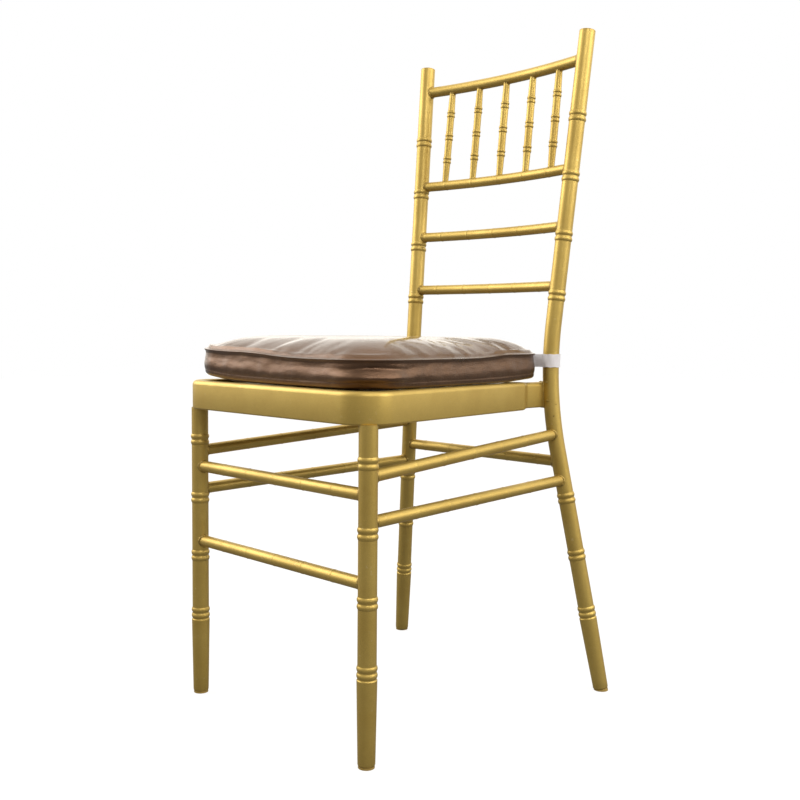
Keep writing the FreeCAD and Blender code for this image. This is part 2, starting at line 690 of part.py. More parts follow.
def rear_cross_rail():
    body = doc.addObject("PartDesign::Body", "rear_rail_tube")
    section = sketch_on(body, "YZ_Plane", "rear_rail_section")
    for wall in ("0", "tube_wall"):
        box_outline(section, f"rear_rail_y - rear_rail_thickness / 2 + {wall}",
                    f"rear_rail_y + rear_rail_thickness / 2 - {wall}",
                    f"hoop_middle - rear_rail_height / 2 + {wall}",
                    f"hoop_middle + rear_rail_height / 2 - {wall}")
    pad = body.newObject("PartDesign::Pad", "rear_rail_length")
    pad.Profile = section
    bind(pad, "Length", "rear_rail_half * 2")
    pad.Midplane = True
    body.Tip = pad
    return coped("seat_rear_rail", body, post_walls)


seat["seat_rear_rail"] = rear_cross_rail()


def pan_outline(body, name, inset, level):
    """The inside of the hoop, drawn in by an inset, at a level."""
    sketch = sketch_on(body, "XY_Plane", name)
    bind(sketch, "AttachmentOffset.Base.z", level)
    depth = f"( hoop_thickness + {inset} )"
    front = (f"hoop_front_half - {depth} / cos( hoop_lean * 1deg ) - {depth} * tan( hoop_lean * 1deg )",
             f"hoop_front + {depth}")
    side = (f"hoop_rear_half - {depth} * cos( hoop_lean * 1deg )",
            f"axis_y + hoop_rear_depth - {depth} * sin( hoop_lean * 1deg )")
    neck = f"neck_half - neck_thickness - {inset}"
    corners = [front, side, (neck, "axis_y + neck_depth"),
               (neck, f"rear_rail_y - rear_rail_thickness / 2 - {inset}")]
    mirrored = [(f"0 - ( {across} )", along) for across, along in reversed(corners)]
    outline(sketch, corners + mirrored)
    return sketch


def seat_pan():
    body = doc.addObject("PartDesign::Body", "seat_pan")
    plate = body.newObject("PartDesign::Pad", "pan_block")
    plate.Profile = pan_outline(body, "pan_edge", "pan_gap", "hoop_top - pan_drop - pan_depth")
    bind(plate, "Length", "pan_depth")
    body.Tip = plate
    doc.recompute()
    upright = []
    for index, edge in enumerate(plate.Shape.Edges, start=1):
        box = edge.BoundBox
        front = box.YMax < size("hoop_front + hoop_thickness + pan_gap") + 0.01
        if box.ZLength > 1 and front:
            upright.append(f"Edge{index}")
    rounding = body.newObject("PartDesign::Fillet", "pan_corners")
    rounding.Base = (plate, upright)
    bind(rounding, "Radius", "hoop_corner - hoop_thickness - pan_gap")
    body.Tip = rounding
    doc.recompute()
    under = [f"Face{index}" for index, face in enumerate(rounding.Shape.Faces, start=1)
             if face.normalAt(0, 0).z < -0.9]
    shell = body.newObject("PartDesign::Thickness", "pan_shell")
    shell.Base = (rounding, under)
    bind(shell, "Value", "pan_sheet")
    shell.Reversed = True
    body.Tip = shell
    return body


seat["seat_pan"] = seat_pan()


# Glides under the feet and plugs on the posts

def turned(name, corners, place):
    body = doc.addObject("PartDesign::Body", name)
    sketch = sketch_on(body, "XZ_Plane", name + "_profile")
    outline(sketch, corners)
    revolve(body, sketch, name + "_turned")
    body.Placement = place
    return body


stem = "foot_od / 2 - tube_wall - fit_gap"
small = {}
floor = doc.addObject("Part::Box", "floor")
floor.Length = floor.Width = 2000
floor.Height = 50
floor.Placement.Base = Vector(-1000, -1000, -50)
for word, side in SIDES:
    place = Placement(leg_point(side, "glide_height") - Vector(0, 0, size("glide_height")), Rotation())
    small[f"front_glide_{word}"] = turned(f"front_glide_{word}", [
        ("0", "0"), ("glide_od / 2", "0"), ("glide_od / 2", "glide_height"), (stem, "glide_height"),
        (stem, "glide_height + plug_depth"), ("0", "glide_height + plug_depth")], place)
    end = "glide_height - lower_length"
    disc = turned(f"rear_glide_{word}_disc", [
        ("0", f"{end} - glide_height * 2"), ("glide_od / 2", f"{end} - glide_height * 2"),
        ("glide_od / 2", end), (stem, end), (stem, f"{end} + plug_depth"),
        ("0", f"{end} + plug_depth")], post_place(side))
    small[f"rear_glide_{word}"] = coped(f"rear_glide_{word}", disc, [floor])
    lean = math.radians(size("bend_angle"))
    tilt = Rotation(Vector(0, 1, 0), size("bend_angle"))
    top = Vector(math.sin(lean), 0, math.cos(lean)) * size("upper_length")
    small[f"post_plug_{word}"] = turned(f"post_plug_{word}", [
        ("0", "0 - plug_depth"), ("bore / 2 - fit_gap", "0 - plug_depth"), ("bore / 2 - fit_gap", "0"),
        ("tube_od / 2", "0"), ("tube_od / 2", "plug_rim"),
        ("tube_od / 2 - plug_crown", "plug_crown"), ("0", "plug_crown")],
        post_place(side) * Placement(top, tilt))


# Cushion: a rounded trapezoid with straight sides and a crown, its back edge just in front of the straps

strap_post, _ = post_axis(1, size("strap_height"))
measured("strap_front", strap_post.y - size("tube_od / 2 + strap_gap * 2 + strap_thickness"))

def cushion_outline(share, inset, level):
    """The outline at a level, scaled about the middle of the seat and drawn in by an inset."""
    front_half = size("cushion_front_half") - inset
    rear_half = size("cushion_rear_half") - inset
    front = size("hoop_front + cushion_front_inset") + inset
    back = size("strap_front - strap_reach") - inset
    middle = (front + back) / 2
    points = [Vector(front_half, front, 0), Vector(rear_half, back, 0),
              Vector(-rear_half, back, 0), Vector(-front_half, front, 0)]
    radii = [size("cushion_front_corner") - inset, size("cushion_rear_corner") - inset]
    radii = [radii[0], radii[1], radii[1], radii[0]]
    shift = Vector(0, middle, 0)
    points = [shift + (point - shift) * share + Vector(0, 0, level) for point in points]
    edges = []
    ends = []
    for index, point in enumerate(points):
        before = (points[index - 1] - point).normalize()
        after = (points[(index + 1) % 4] - point).normalize()
        half = before.getAngle(after) / 2
        radius = radii[index] * share
        start = point + before * (radius / math.tan(half))
        end = point + after * (radius / math.tan(half))
        centre = point + (before + after).normalize() * (radius / math.sin(half))
        crest = centre + (point - centre).normalize() * radius
        ends.append((start, crest, end))
    for index, (start, crest, end) in enumerate(ends):
        edges.append(Part.Arc(start, crest, end).toShape())
        edges.append(Part.LineSegment(end, ends[(index + 1) % 4][0]).toShape())
    return Part.Wire(edges)


CROWN_SHARES = (1.0, 0.94, 0.82, 0.5)
CROWN_POWER = 6


def cushion_shape():
    base = size("hoop_top + cushion_lift")
    lower = base + size("cushion_lower_seam")
    upper = base + size("cushion_upper_seam")
    under = [cushion_outline(1, size("cushion_tuck"), base), cushion_outline(1, 0, lower)]
    wall = [cushion_outline(1, 0, lower), cushion_outline(1, 0, upper)]
    crown = []
    for share in CROWN_SHARES:
        rise = 1 - share ** CROWN_POWER
        crown.append(cushion_outline(share, 0, upper + size("cushion_crown") * rise))
    bottom = Part.makeLoft(under, True, True)
    middle = Part.makeLoft(wall, True, True)
    top = Part.makeLoft(crown, True, True)
    return bottom.fuse([middle, top]).removeSplitter()


cushion = doc.addObject("Part::Feature", "cushion")
cushion.Shape = cushion_shape()


# Straps: a loop round each post and a tab sewn to the cushion

def strap(word, side):
    place, heading = post_axis(side, size("strap_height"))
    upright = Rotation(Vector(0, 0, 1), heading)
    half = heading * (size("strap_width") / 2)
    inner = doc.addObject("Part::Cylinder", f"strap_hole_{word}")
    outer = doc.addObject("Part::Cylinder", f"strap_band_{word}")
    bind(inner, "Radius", "tube_od / 2 + strap_gap")
    bind(outer, "Radius", "tube_od / 2 + strap_gap + strap_thickness")
    for ring in (inner, outer):
        bind(ring, "Height", "strap_width")
        ring.Placement = Placement(place - half, upright)
    stub = doc.addObject("Part::Box", f"strap_stub_{word}")
    bind(stub, "Length", "strap_stub + strap_thickness")
    bind(stub, "Width", "strap_thickness")
    bind(stub, "Height", "strap_width")
    reach = size("tube_od / 2 + strap_gap")
    outward = upright.multVec(Vector(side, 0, 0))
    turn = upright if side > 0 else upright * Rotation(Vector(0, 0, 1), 180)
    stub.Placement = Placement(place - half + outward * reach, turn)
    whole = doc.addObject("Part::Fuse", f"strap_whole_{word}")
    whole.Base = outer
    whole.Tool = stub
    loop = doc.addObject("Part::Cut", f"strap_loop_{word}")
    loop.Base = whole
    loop.Tool = inner
    tab = doc.addObject("Part::Box", f"strap_tab_{word}")
    bind(tab, "Length", "strap_thickness")
    bind(tab, "Width", "strap_reach")
    bind(tab, "Height", "strap_width")
    across = size("cushion_rear_half - cushion_rear_corner")
    tab.Placement.Base = Vector(side * across - size("strap_thickness") / 2,
                                size("strap_front - strap_reach"),
                                size("strap_height - strap_width / 2"))
    return loop, tab


straps = {}
for word, side in SIDES:
    straps[f"strap_loop_{word}"], straps[f"strap_tab_{word}"] = strap(word, side)

doc.recompute()

# Check every object, then write each part
failed = [thing.Label for thing in doc.Objects if {"Invalid", "Error"} & set(thing.State)]
if failed:
    raise RuntimeError("not computed: " + ", ".join(failed))
parts = {f"front_leg_{word}": body for word, body in legs.items()}
parts.update({f"rear_post_{word}": body for word, body in posts.items()})
for group in (rungs, rails, spindles, seat, small, straps):
    parts.update(group)
parts["cushion"] = cushion
for name, thing in parts.items():
    thing.Label = name
    if thing.Shape.isNull() or not thing.Shape.isValid() or not thing.Shape.Solids:
        raise RuntimeError(name + " has no valid solid")

os.makedirs("parts", exist_ok=True)
whole = FreeCAD.BoundBox()
for name, thing in parts.items():
    thing.Shape.exportStep(f"parts/{name}.step")
    whole.add(thing.Shape.BoundBox)
    print(f"{name}: {len(thing.Shape.Solids)} solid, {thing.Shape.Volume / 1000:.2f} cm3")
print(f"{len(parts)} parts, X {whole.XMin:.1f} {whole.XMax:.1f}, Y {whole.YMin:.1f} {whole.YMax:.1f},"
      f" Z {whole.ZMin:.1f} {whole.ZMax:.1f}")
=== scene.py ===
import bpy
import math
import random
from mathutils import Matrix, Vector, noise
from mathutils.kdtree import KDTree


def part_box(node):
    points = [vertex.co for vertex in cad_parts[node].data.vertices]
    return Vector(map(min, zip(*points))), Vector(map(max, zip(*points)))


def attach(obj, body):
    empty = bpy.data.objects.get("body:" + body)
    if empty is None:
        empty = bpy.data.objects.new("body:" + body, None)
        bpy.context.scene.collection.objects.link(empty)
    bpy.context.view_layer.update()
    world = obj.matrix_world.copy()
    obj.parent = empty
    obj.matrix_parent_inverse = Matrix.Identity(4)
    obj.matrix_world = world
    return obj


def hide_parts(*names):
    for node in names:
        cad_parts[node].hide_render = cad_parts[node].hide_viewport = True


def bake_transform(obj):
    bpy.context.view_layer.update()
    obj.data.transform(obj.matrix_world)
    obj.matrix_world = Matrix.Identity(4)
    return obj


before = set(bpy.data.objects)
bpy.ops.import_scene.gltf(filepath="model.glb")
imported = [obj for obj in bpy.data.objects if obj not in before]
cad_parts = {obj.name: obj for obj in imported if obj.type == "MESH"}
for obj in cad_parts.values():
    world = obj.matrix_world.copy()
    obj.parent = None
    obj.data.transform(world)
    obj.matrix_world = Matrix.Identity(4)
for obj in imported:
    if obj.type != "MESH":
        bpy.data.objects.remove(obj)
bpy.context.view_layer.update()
scene = bpy.context.scene
scene.view_settings.view_transform = "Standard"

# Camera: it stands low in front of the chair's left corner and looks slightly down,
# as the photograph does, at 46 degrees round from the front.

FILM_WIDTH = 36.0
FOCAL_PIXELS = 1034.32
FRAME_PIXELS = 800
CAMERA_PLACE = Vector((1.02648, -0.98354, 0.49905))
CAMERA_YAW, CAMERA_PITCH, CAMERA_ROLL = (math.radians(turn) for turn in (46.09, -3.81, 0.48))

forward = Vector((-math.sin(CAMERA_YAW) * math.cos(CAMERA_PITCH),
                  math.cos(CAMERA_YAW) * math.cos(CAMERA_PITCH), math.sin(CAMERA_PITCH)))
level = Vector((math.cos(CAMERA_YAW), math.sin(CAMERA_YAW), 0))
upright = level.cross(forward)
right = level * math.cos(CAMERA_ROLL) + upright * math.sin(CAMERA_ROLL)
upward = upright * math.cos(CAMERA_ROLL) - level * math.sin(CAMERA_ROLL)
camera_data = bpy.data.cameras.new("camera")
camera_data.sensor_width = FILM_WIDTH
camera_data.lens = FOCAL_PIXELS / FRAME_PIXELS * FILM_WIDTH
camera = bpy.data.objects.new("camera", camera_data)
turned = Matrix((right, upward, -forward)).transposed().to_4x4()
camera.matrix_world = Matrix.Translation(CAMERA_PLACE) @ turned
scene.collection.objects.link(camera)
scene.camera = camera

# Studio: a white floor that runs out to a white background, and soft lamps. Two large ones stand at
# the chair's sides, so that the tubes are bright at each edge. A wide one hangs above, a small one
# stands high in front.

LAMPS = [
    ("lamp_left", (2.1, 0.9, 1.7), (1.8, 1.9), 36.0, (1.0, 0.98, 0.95)),
    ("lamp_right", (-2.0, -1.1, 1.7), (1.8, 1.9), 40.0, (1.0, 0.98, 0.95)),
    ("lamp_top", (0.0, 0.4, 2.7), (2.8, 2.8), 16.0, (1.0, 1.0, 1.0)),
    ("lamp_front", (1.75, -1.15, 2.05), (0.9, 0.7), 16.0, (1.0, 0.98, 0.96)),
]


def lamp(name, place, extent, power, colour):
    light = bpy.data.lights.new(name, "AREA")
    light.shape = "RECTANGLE"
    light.size, light.size_y = extent
    light.energy = power
    light.color = colour
    stand = bpy.data.objects.new(name, light)
    stand.location = place
    aim = Vector((0, 0, 0.45)) - Vector(place)
    stand.rotation_euler = aim.to_track_quat("-Z", "Y").to_euler()
    scene.collection.objects.link(stand)


for row in LAMPS:
    lamp(*row)


def node(tree, kind, place, **values):
    """A shader node at a place of the tree, with its plain values set on it or on its sockets."""
    made = tree.nodes.new(kind)
    made.location = place
    for key, value in values.items():
        if hasattr(made, key):
            setattr(made, key, value)
        else:
            made.inputs[key.replace("_", " ")].default_value = value
    return made


def wire(tree, *links):
    """Links in a tree, each as a node, its output, the next node and its input."""
    for start, output, end, entry in links:
        tree.links.new(start.outputs[output], end.inputs[entry])


# The world is white to the camera. Paint and leather mirror it too, dimmer on the photographer's
# side, which is a fixed direction of the room, and brightest just above the floor's far end. Its
# plain light is low.

SHY_SIDE = (0.62, -0.62, 0.1)
world = bpy.data.worlds.new("studio")
scene.world = world
world.use_nodes = True
sky = world.node_tree
sky.nodes.clear()
sky_out = node(sky, "ShaderNodeOutputWorld", (1000, 0))
sky_light = node(sky, "ShaderNodeBackground", (800, 0))
ray = node(sky, "ShaderNodeLightPath", (-400, 400))
mirrored_ray = node(sky, "ShaderNodeMath", (-200, 400), operation="MAXIMUM")
heading = node(sky, "ShaderNodeTexCoord", (-800, 0))
toward = node(sky, "ShaderNodeVectorMath", (-600, 0), operation="DOT_PRODUCT")
toward.inputs[1].default_value = SHY_SIDE
dimming = node(sky, "ShaderNodeMapRange", (-400, 0), interpolation_type="SMOOTHSTEP",
               From_Min=-0.8, From_Max=0.8, To_Min=0.9, To_Max=0.2)
heights = node(sky, "ShaderNodeSeparateXYZ", (-600, -250))
lift = node(sky, "ShaderNodeValToRGB", (-450, -250))
lift.color_ramp.elements[0].color = (0, 0, 0, 1)
lift.color_ramp.elements[1].color = (0.3, 0.3, 0.3, 1)
for height_share, level_added in ((0.22, 0.75), (0.45, 0.4)):
    lift.color_ramp.elements.new(height_share).color = (level_added, level_added, level_added, 1)
mirrored_level = node(sky, "ShaderNodeMath", (-200, 0), operation="ADD")
room_level = node(sky, "ShaderNodeMix", (100, 0), data_type="FLOAT", A=0.6)
strength = node(sky, "ShaderNodeMix", (400, 0), data_type="FLOAT", B=1.0)
tint = node(sky, "ShaderNodeMix", (400, 250), data_type="RGBA", A=(1.0, 0.95, 0.87, 1), B=(1, 1, 1, 1))
wire(sky, (ray, "Is Glossy Ray", mirrored_ray, 0), (ray, "Is Transmission Ray", mirrored_ray, 1),
     (heading, "Generated", toward, 0), (toward, "Value", dimming, "Value"),
     (heading, "Generated", heights, "Vector"), (heights, "Z", lift, "Fac"),
     (dimming, "Result", mirrored_level, 0), (lift, "Color", mirrored_level, 1),
     (mirrored_level, "Value", room_level, "B"), (mirrored_ray, "Value", room_level, "Factor"),
     (room_level, "Result", strength, "A"), (ray, "Is Camera Ray", strength, "Factor"),
     (ray, "Is Camera Ray", tint, "Factor"), (tint, "Result", sky_light, "Color"),
     (strength, "Result", sky_light, "Strength"), (sky_light, "Background", sky_out, "Surface"))

FLOOR_HALF = 9.0
floor_mesh = bpy.data.meshes.new("floor")
floor_mesh.from_pydata([(-FLOOR_HALF, -FLOOR_HALF, 0), (FLOOR_HALF, -FLOOR_HALF, 0),
                        (FLOOR_HALF, FLOOR_HALF, 0), (-FLOOR_HALF, FLOOR_HALF, 0)], [], [(0, 1, 2, 3)])
floor = bpy.data.objects.new("floor", floor_mesh)
scene.collection.objects.link(floor)
floor_finish = bpy.data.materials.new("floor_white")
floor_finish.use_nodes = True
ground = floor_finish.node_tree
ground.nodes.clear()
ground_out = node(ground, "ShaderNodeOutputMaterial", (800, 0))
ground_skin = node(ground, "ShaderNodeBsdfPrincipled", (400, 0), Base_Color=(0.12, 0.12, 0.12, 1),
                   Roughness=0.9, Emission_Color=(1, 1, 1, 1))
ground_ray = node(ground, "ShaderNodeLightPath", (-200, -200))
ground_glow = node(ground, "ShaderNodeMath", (100, -200), operation="MULTIPLY_ADD")
ground_glow.inputs[1].default_value = 0.88
ground_seen = node(ground, "ShaderNodeMath", (-120, -400), operation="MAXIMUM")
ground_mirror = node(ground, "ShaderNodeMath", (0, -400), operation="MULTIPLY")
ground_mirror.inputs[1].default_value = 0.08
wire(ground, (ground_ray, "Is Camera Ray", ground_glow, 0),
     (ground_ray, "Is Glossy Ray", ground_seen, 0),
     (ground_ray, "Is Transmission Ray", ground_seen, 1), (ground_seen, "Value", ground_mirror, 0),
     (ground_mirror, "Value", ground_glow, 2),
     (ground_glow, "Value", ground_skin, "Emission Strength"),
     (ground_skin, "BSDF", ground_out, "Surface"))
floor_mesh.materials.append(floor_finish)

# Gold paint: sprayed over the welded frame, so it lies on every tube, ring and weld. It has fine flakes, a
# faint orange peel, pale scuffs, drifts of thicker gold, and a thin clear coat. On the welds it is darker,
# with patches of painted shade.


def effect(name, inputs, outputs):
    """A shader node group with its sockets, and its two ends."""
    tree = bpy.data.node_groups.new(name, "ShaderNodeTree")
    for label, kind, value in inputs:
        socket = tree.interface.new_socket(label, in_out="INPUT", socket_type=kind)
        socket.default_value = value
    for label, kind in outputs:
        tree.interface.new_socket(label, in_out="OUTPUT", socket_type=kind)
    return tree, node(tree, "NodeGroupInput", (-1200, 0)), node(tree, "NodeGroupOutput", (900, 0))


def grain_effect():
    """Colour drifts, which on the welds are patches of painted shade, flakes, pale scuffs and a bump, all by
    place on the object.
    """
    tree, start, end = effect("sprayed_skin", [
        ("Colour", "NodeSocketColor", (0.6, 0.45, 0.13, 1)),
        ("Thin Colour", "NodeSocketColor", (0.4, 0.28, 0.07, 1)),
        ("Drift Scale", "NodeSocketFloat", 14.0), ("Scuffs", "NodeSocketFloat", 0.35),
        ("Peel Scale", "NodeSocketFloat", 700.0), ("Peel Depth", "NodeSocketFloat", 0.00006),
        ("Roughness", "NodeSocketFloat", 0.36),
    ], [("Colour", "NodeSocketColor"), ("Roughness", "NodeSocketFloat"), ("Normal", "NodeSocketVector")])
    place = node(tree, "ShaderNodeTexCoord", (-1200, 300))
    drift = node(tree, "ShaderNodeTexNoise", (-800, 300), Detail=4.0, Roughness=0.55)
    # The mix goes toward the second colour: thin gold on the frame, and painted shade on the welds.
    blotch = node(tree, "ShaderNodeMapRange", (-600, 300), From_Min=0.35, From_Max=0.7, To_Max=0.55)
    tint = node(tree, "ShaderNodeMix", (-300, 300), data_type="RGBA")
    flake = node(tree, "ShaderNodeTexVoronoi", (-800, 0), Scale=2600.0)
    glint = node(tree, "ShaderNodeMapRange", (-600, 0), To_Min=0.86, To_Max=1.16)
    shade = node(tree, "ShaderNodeMix", (0, 200), data_type="RGBA", blend_type="MULTIPLY", Factor=1.0)
    scuff = node(tree, "ShaderNodeTexNoise", (-800, 600), Scale=120.0, Detail=5.0, Roughness=0.7)
    worn = node(tree, "ShaderNodeMapRange", (-600, 600), From_Min=0.64, From_Max=0.7)
    worn_share = node(tree, "ShaderNodeMath", (-300, 600), operation="MULTIPLY")
    scuffed = node(tree, "ShaderNodeMix", (300, 300), data_type="RGBA", B=(0.72, 0.6, 0.32, 1))
    sheen = node(tree, "ShaderNodeMath", (-100, -100), operation="MULTIPLY_ADD")
    sheen.inputs[1].default_value = 0.16
    peel = node(tree, "ShaderNodeTexNoise", (-800, -300), Detail=2.0)
    bump = node(tree, "ShaderNodeBump", (500, -300), Strength=1.0)
    wire(tree, (place, "Object", drift, "Vector"), (start, "Drift Scale", drift, "Scale"),
         (drift, "Fac", blotch, "Value"), (blotch, "Result", tint, "Factor"),
         (start, "Colour", tint, "A"), (start, "Thin Colour", tint, "B"),
         (place, "Object", flake, "Vector"), (flake, "Color", glint, "Value"),
         (tint, "Result", shade, "A"), (glint, "Result", shade, "B"),
         (place, "Object", scuff, "Vector"), (scuff, "Fac", worn, "Value"),
         (worn, "Result", worn_share, 0), (start, "Scuffs", worn_share, 1),
         (worn_share, "Value", scuffed, "Factor"), (shade, "Result", scuffed, "A"),
         (scuffed, "Result", end, "Colour"), (drift, "Fac", sheen, 0), (start, "Roughness", sheen, 2),
         (sheen, "Value", end, "Roughness"), (place, "Object", peel, "Vector"),
         (start, "Peel Scale", peel, "Scale"), (peel, "Fac", bump, "Height"),
         (start, "Peel Depth", bump, "Distance"), (bump, "Normal", end, "Normal"))
    return tree


sprayed_skin = grain_effect()


def finish(name, **values):
    """A material with one Principled shader, its plain values set on its own sockets."""
    made = bpy.data.materials.new(name)
    made.use_nodes = True
    tree = made.node_tree
    skin = tree.nodes["Principled BSDF"]
    for key, value in values.items():
        skin.inputs[key.replace("_", " ")].default_value = value
    return made, tree, skin


def sprayed(name, colour, thin_paint_and_shade, peel_depth, roughness, drift_scale=14.0, **values):
    """A material whose colour, roughness and normal come from the sprayed skin."""
    made, tree, skin = finish(name, **values)
    group = node(tree, "ShaderNodeGroup", (-300, 0), node_tree=sprayed_skin, Colour=(*colour, 1),
                 Thin_Colour=(*thin_paint_and_shade, 1), Drift_Scale=drift_scale, Peel_Depth=peel_depth, Roughness=roughness)
    wire(tree, (group, "Colour", skin, "Base Color"), (group, "Roughness", skin, "Roughness"),
         (group, "Normal", skin, "Normal"))
    return made


GOLD = (0.56, 0.4, 0.105)
THIN_GOLD = (0.4, 0.265, 0.055)
gold_paint = sprayed("gold_paint", GOLD, THIN_GOLD, 0.00005, 0.39, Metallic=0.78, Coat_Weight=0.12,
                     Coat_Roughness=0.3)

# Front legs: straight steel tube with four bands of two rolled beads each, and a separate looking
# foot that swells to a shoulder and tapers to the floor. The hoop sits on their cut tops.

TUBE = 0.0111
BEAD_RISE = 0.00115
BEAD_HALF = 0.0034
BEAD_PITCH = 0.008
FOOT = 0.0103
SHOULDER = 0.012
SHOULDER_DROP = 0.0095
SHOULDER_ROUND = 0.0016
FOOT_ROUND = 0.0018
GLIDE = 0.0028
LEG_BANDS = [0.112 + 0.0795 * step for step in range(4)]
TUBE_SIDES = 44
leg_low, leg_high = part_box("front_leg_left")
AXIS_X, AXIS_Y = (leg_low[0] + leg_high[0]) / 2, (leg_low[1] + leg_high[1]) / 2
HOOP_LOW = leg_high[2]


def mesh_piece(name, verts, faces, material, body="frame"):
    """An object of the scene from its points and faces, painted, riding on a body."""
    mesh = bpy.data.meshes.new(name)
    mesh.from_pydata(verts, [], faces)
    mesh.validate()
    mesh.polygons.foreach_set("use_smooth", [True] * len(mesh.polygons))
    mesh.set_sharp_from_angle(angle=math.radians(55))
    mesh.materials.append(material)
    piece = bpy.data.objects.new(name, mesh)
    scene.collection.objects.link(piece)
    if body:
        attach(piece, body)
    return piece


def ring(centre, heading, radius, sides, reference):
    """Points of a circle round a heading, always started on the same side."""
    across = (Vector(reference) - heading * heading.dot(Vector(reference))).normalized()
    other = heading.cross(across)
    return [centre + (across * math.cos(turn) + other * math.sin(turn)) * radius
            for turn in (2 * math.pi * step / sides for step in range(sides))]


def swept(stations, sides, reference):
    """Points and faces of a round bar through stations of centre, heading and radius, closed at its ends."""
    verts = []
    faces = []
    for centre, heading, radius in stations:
        verts += ring(centre, heading, radius, sides, reference)
    for row in range(len(stations) - 1):
        for step in range(sides):
            following = (step + 1) % sides
            faces.append((row * sides + step, row * sides + following,
                          (row + 1) * sides + following, (row + 1) * sides + step))
    faces.append(tuple(reversed(range(sides))))
    faces.append(tuple(range((len(stations) - 1) * sides, len(stations) * sides)))
    return verts, faces


def bead_rise(along, beads, rise, half):
    """How far rolled beads stand out of a tube at a place along it."""
    total = 0.0
    for bead in beads:
        away = abs(along - bead) / half
        if away < 1:
            total = max(total, rise * math.cos(away * math.pi / 2) ** 0.8)
    return total


def stops(start, end, coarse, beads, half, extra=()):
    """Places along a tube: even ones, close ones over each bead, and named ones."""
    count = max(2, math.ceil((end - start) / coarse))
    places = {start + (end - start) * step / count for step in range(count + 1)}
    for bead in beads:
        places |= {bead + half * step / 5 for step in range(-5, 6)}
        places |= {bead + side * (half + spare) for side in (-1, 1) for spare in (0.0002, 0.0006)}
    places |= set(extra)
    places = sorted(place for place in places if start <= place <= end)
    kept = [places[0]]
    for place in places[1:]:
        if place - kept[-1] > 0.0001:
            kept.append(place)
    return kept


def foot_radius(along, shoulder):
    """The tapered foot, measured from the floor: rounded at its lower end and at its shoulder."""
    if along >= shoulder + SHOULDER_ROUND:
        return TUBE
    if along >= shoulder:
        return SHOULDER + (TUBE - SHOULDER) * math.sin((along - shoulder) / SHOULDER_ROUND * math.pi / 2)
    rounding = max(0.0, 1 - (along - GLIDE) / FOOT_ROUND)
    return FOOT + (SHOULDER - FOOT) * (along - GLIDE) / (shoulder - GLIDE) - 0.0012 * rounding ** 2


def doubled(bands, pitch):
    return [band + side * pitch / 2 for band in bands for side in (-1, 1)]


for word, side in (("left", 1), ("right", -1)):
    shoulder = LEG_BANDS[0] - SHOULDER_DROP
    beads = doubled(LEG_BANDS, BEAD_PITCH)
    marks = [GLIDE + step * 0.0006 for step in range(4)]
    marks += [shoulder + step * 0.0004 for step in range(-2, 5)]
    stations = []
    for along in stops(GLIDE, HOOP_LOW + 0.0006, 0.03, beads, BEAD_HALF, marks):
        radius = foot_radius(along, shoulder) + bead_rise(along, beads, BEAD_RISE, BEAD_HALF)
        stations.append((Vector((side * AXIS_X, AXIS_Y, along)), Vector((0, 0, 1)), radius))
    leg = mesh_piece(f"leg_{word}", *swept(stations, TUBE_SIDES, (1, 0, 0)), gold_paint)
    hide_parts(f"front_leg_{word}")

# Rear posts: one bent tube each, splayed below the seat and leaning outwards above it. They carry
# three bands of beads below the seat and four above, and end in the same tapered foot.

POST_FOOT = Vector((0.201, AXIS_Y + 0.415, 0))
POST_KNEE = Vector((0.1335, AXIS_Y + 0.366, 0.423))
POST_TOP = Vector((0.154, AXIS_Y + 0.417, 0.913))
BEND_RADIUS = 0.6
LOW_BANDS = [0.111 + 0.0792 * step for step in range(3)]
BACK_BANDS = [0.5495 + 0.0823 * step for step in range(4)]
LOWER = (POST_KNEE - POST_FOOT).length
UPPER = (POST_TOP - POST_KNEE).length


def post_point(side, along):
    """A post's axis and heading, measured along it from the bend, negative below."""
    rise = (POST_KNEE - POST_FOOT).normalized()
    lean = (POST_TOP - POST_KNEE).normalized()
    bend = rise.angle(lean)
    reach = BEND_RADIUS * math.tan(bend / 2)
    if along < -reach:
        point, heading = POST_KNEE + rise * along, rise
    elif along > reach:
        point, heading = POST_KNEE + lean * along, lean
    else:
        turn = bend * (along + reach) / (2 * reach)
        across = (lean - rise * lean.dot(rise)).normalized()
        point = (POST_KNEE + rise * (BEND_RADIUS * math.sin(turn) - reach)
                 + across * (BEND_RADIUS * (1 - math.cos(turn))))
        heading = rise * math.cos(turn) + across * math.sin(turn)
    return Vector((point.x * side, point.y, point.z)), Vector((heading.x * side, heading.y, heading.z))


def post_along(height):
    """The place along a post at a height above the floor."""
    low, high = -LOWER, UPPER
    for _ in range(40):
        middle = (low + high) / 2
        if post_point(1, middle)[0].z < height:
            low = middle
        else:
            high = middle
    return low


def post_at(side, height):
    return post_point(side, post_along(height))


for word, side in (("left", 1), ("right", -1)):
    beads = doubled([(height - POST_KNEE.z) * LOWER / POST_KNEE.z for height in LOW_BANDS], BEAD_PITCH)
    beads += doubled([(height - POST_KNEE.z) * UPPER / (POST_TOP.z - POST_KNEE.z) for height in BACK_BANDS],
                     BEAD_PITCH)
    shoulder = (LOW_BANDS[0] - POST_KNEE.z) * LOWER / POST_KNEE.z - SHOULDER_DROP + LOWER
    marks = [GLIDE - LOWER + step * 0.0006 for step in range(4)]
    marks += [shoulder - LOWER + step * 0.0004 for step in range(-2, 5)]
    stations = []
    for along in stops(GLIDE - LOWER, UPPER, 0.012, beads, BEAD_HALF, marks):
        radius = foot_radius(along + LOWER, shoulder) + bead_rise(along, beads, BEAD_RISE, BEAD_HALF)
        stations.append((*post_point(side, along), radius))
    post = mesh_piece(f"post_{word}", *swept(stations, TUBE_SIDES, (1, 0, 0)), gold_paint)
    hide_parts(f"rear_post_{word}")

# Plugs and glides: turned plastic in a matching gold. A low dome closes each post, with a fine
# line where its rim meets the tube, and a flat disc sits under each foot.

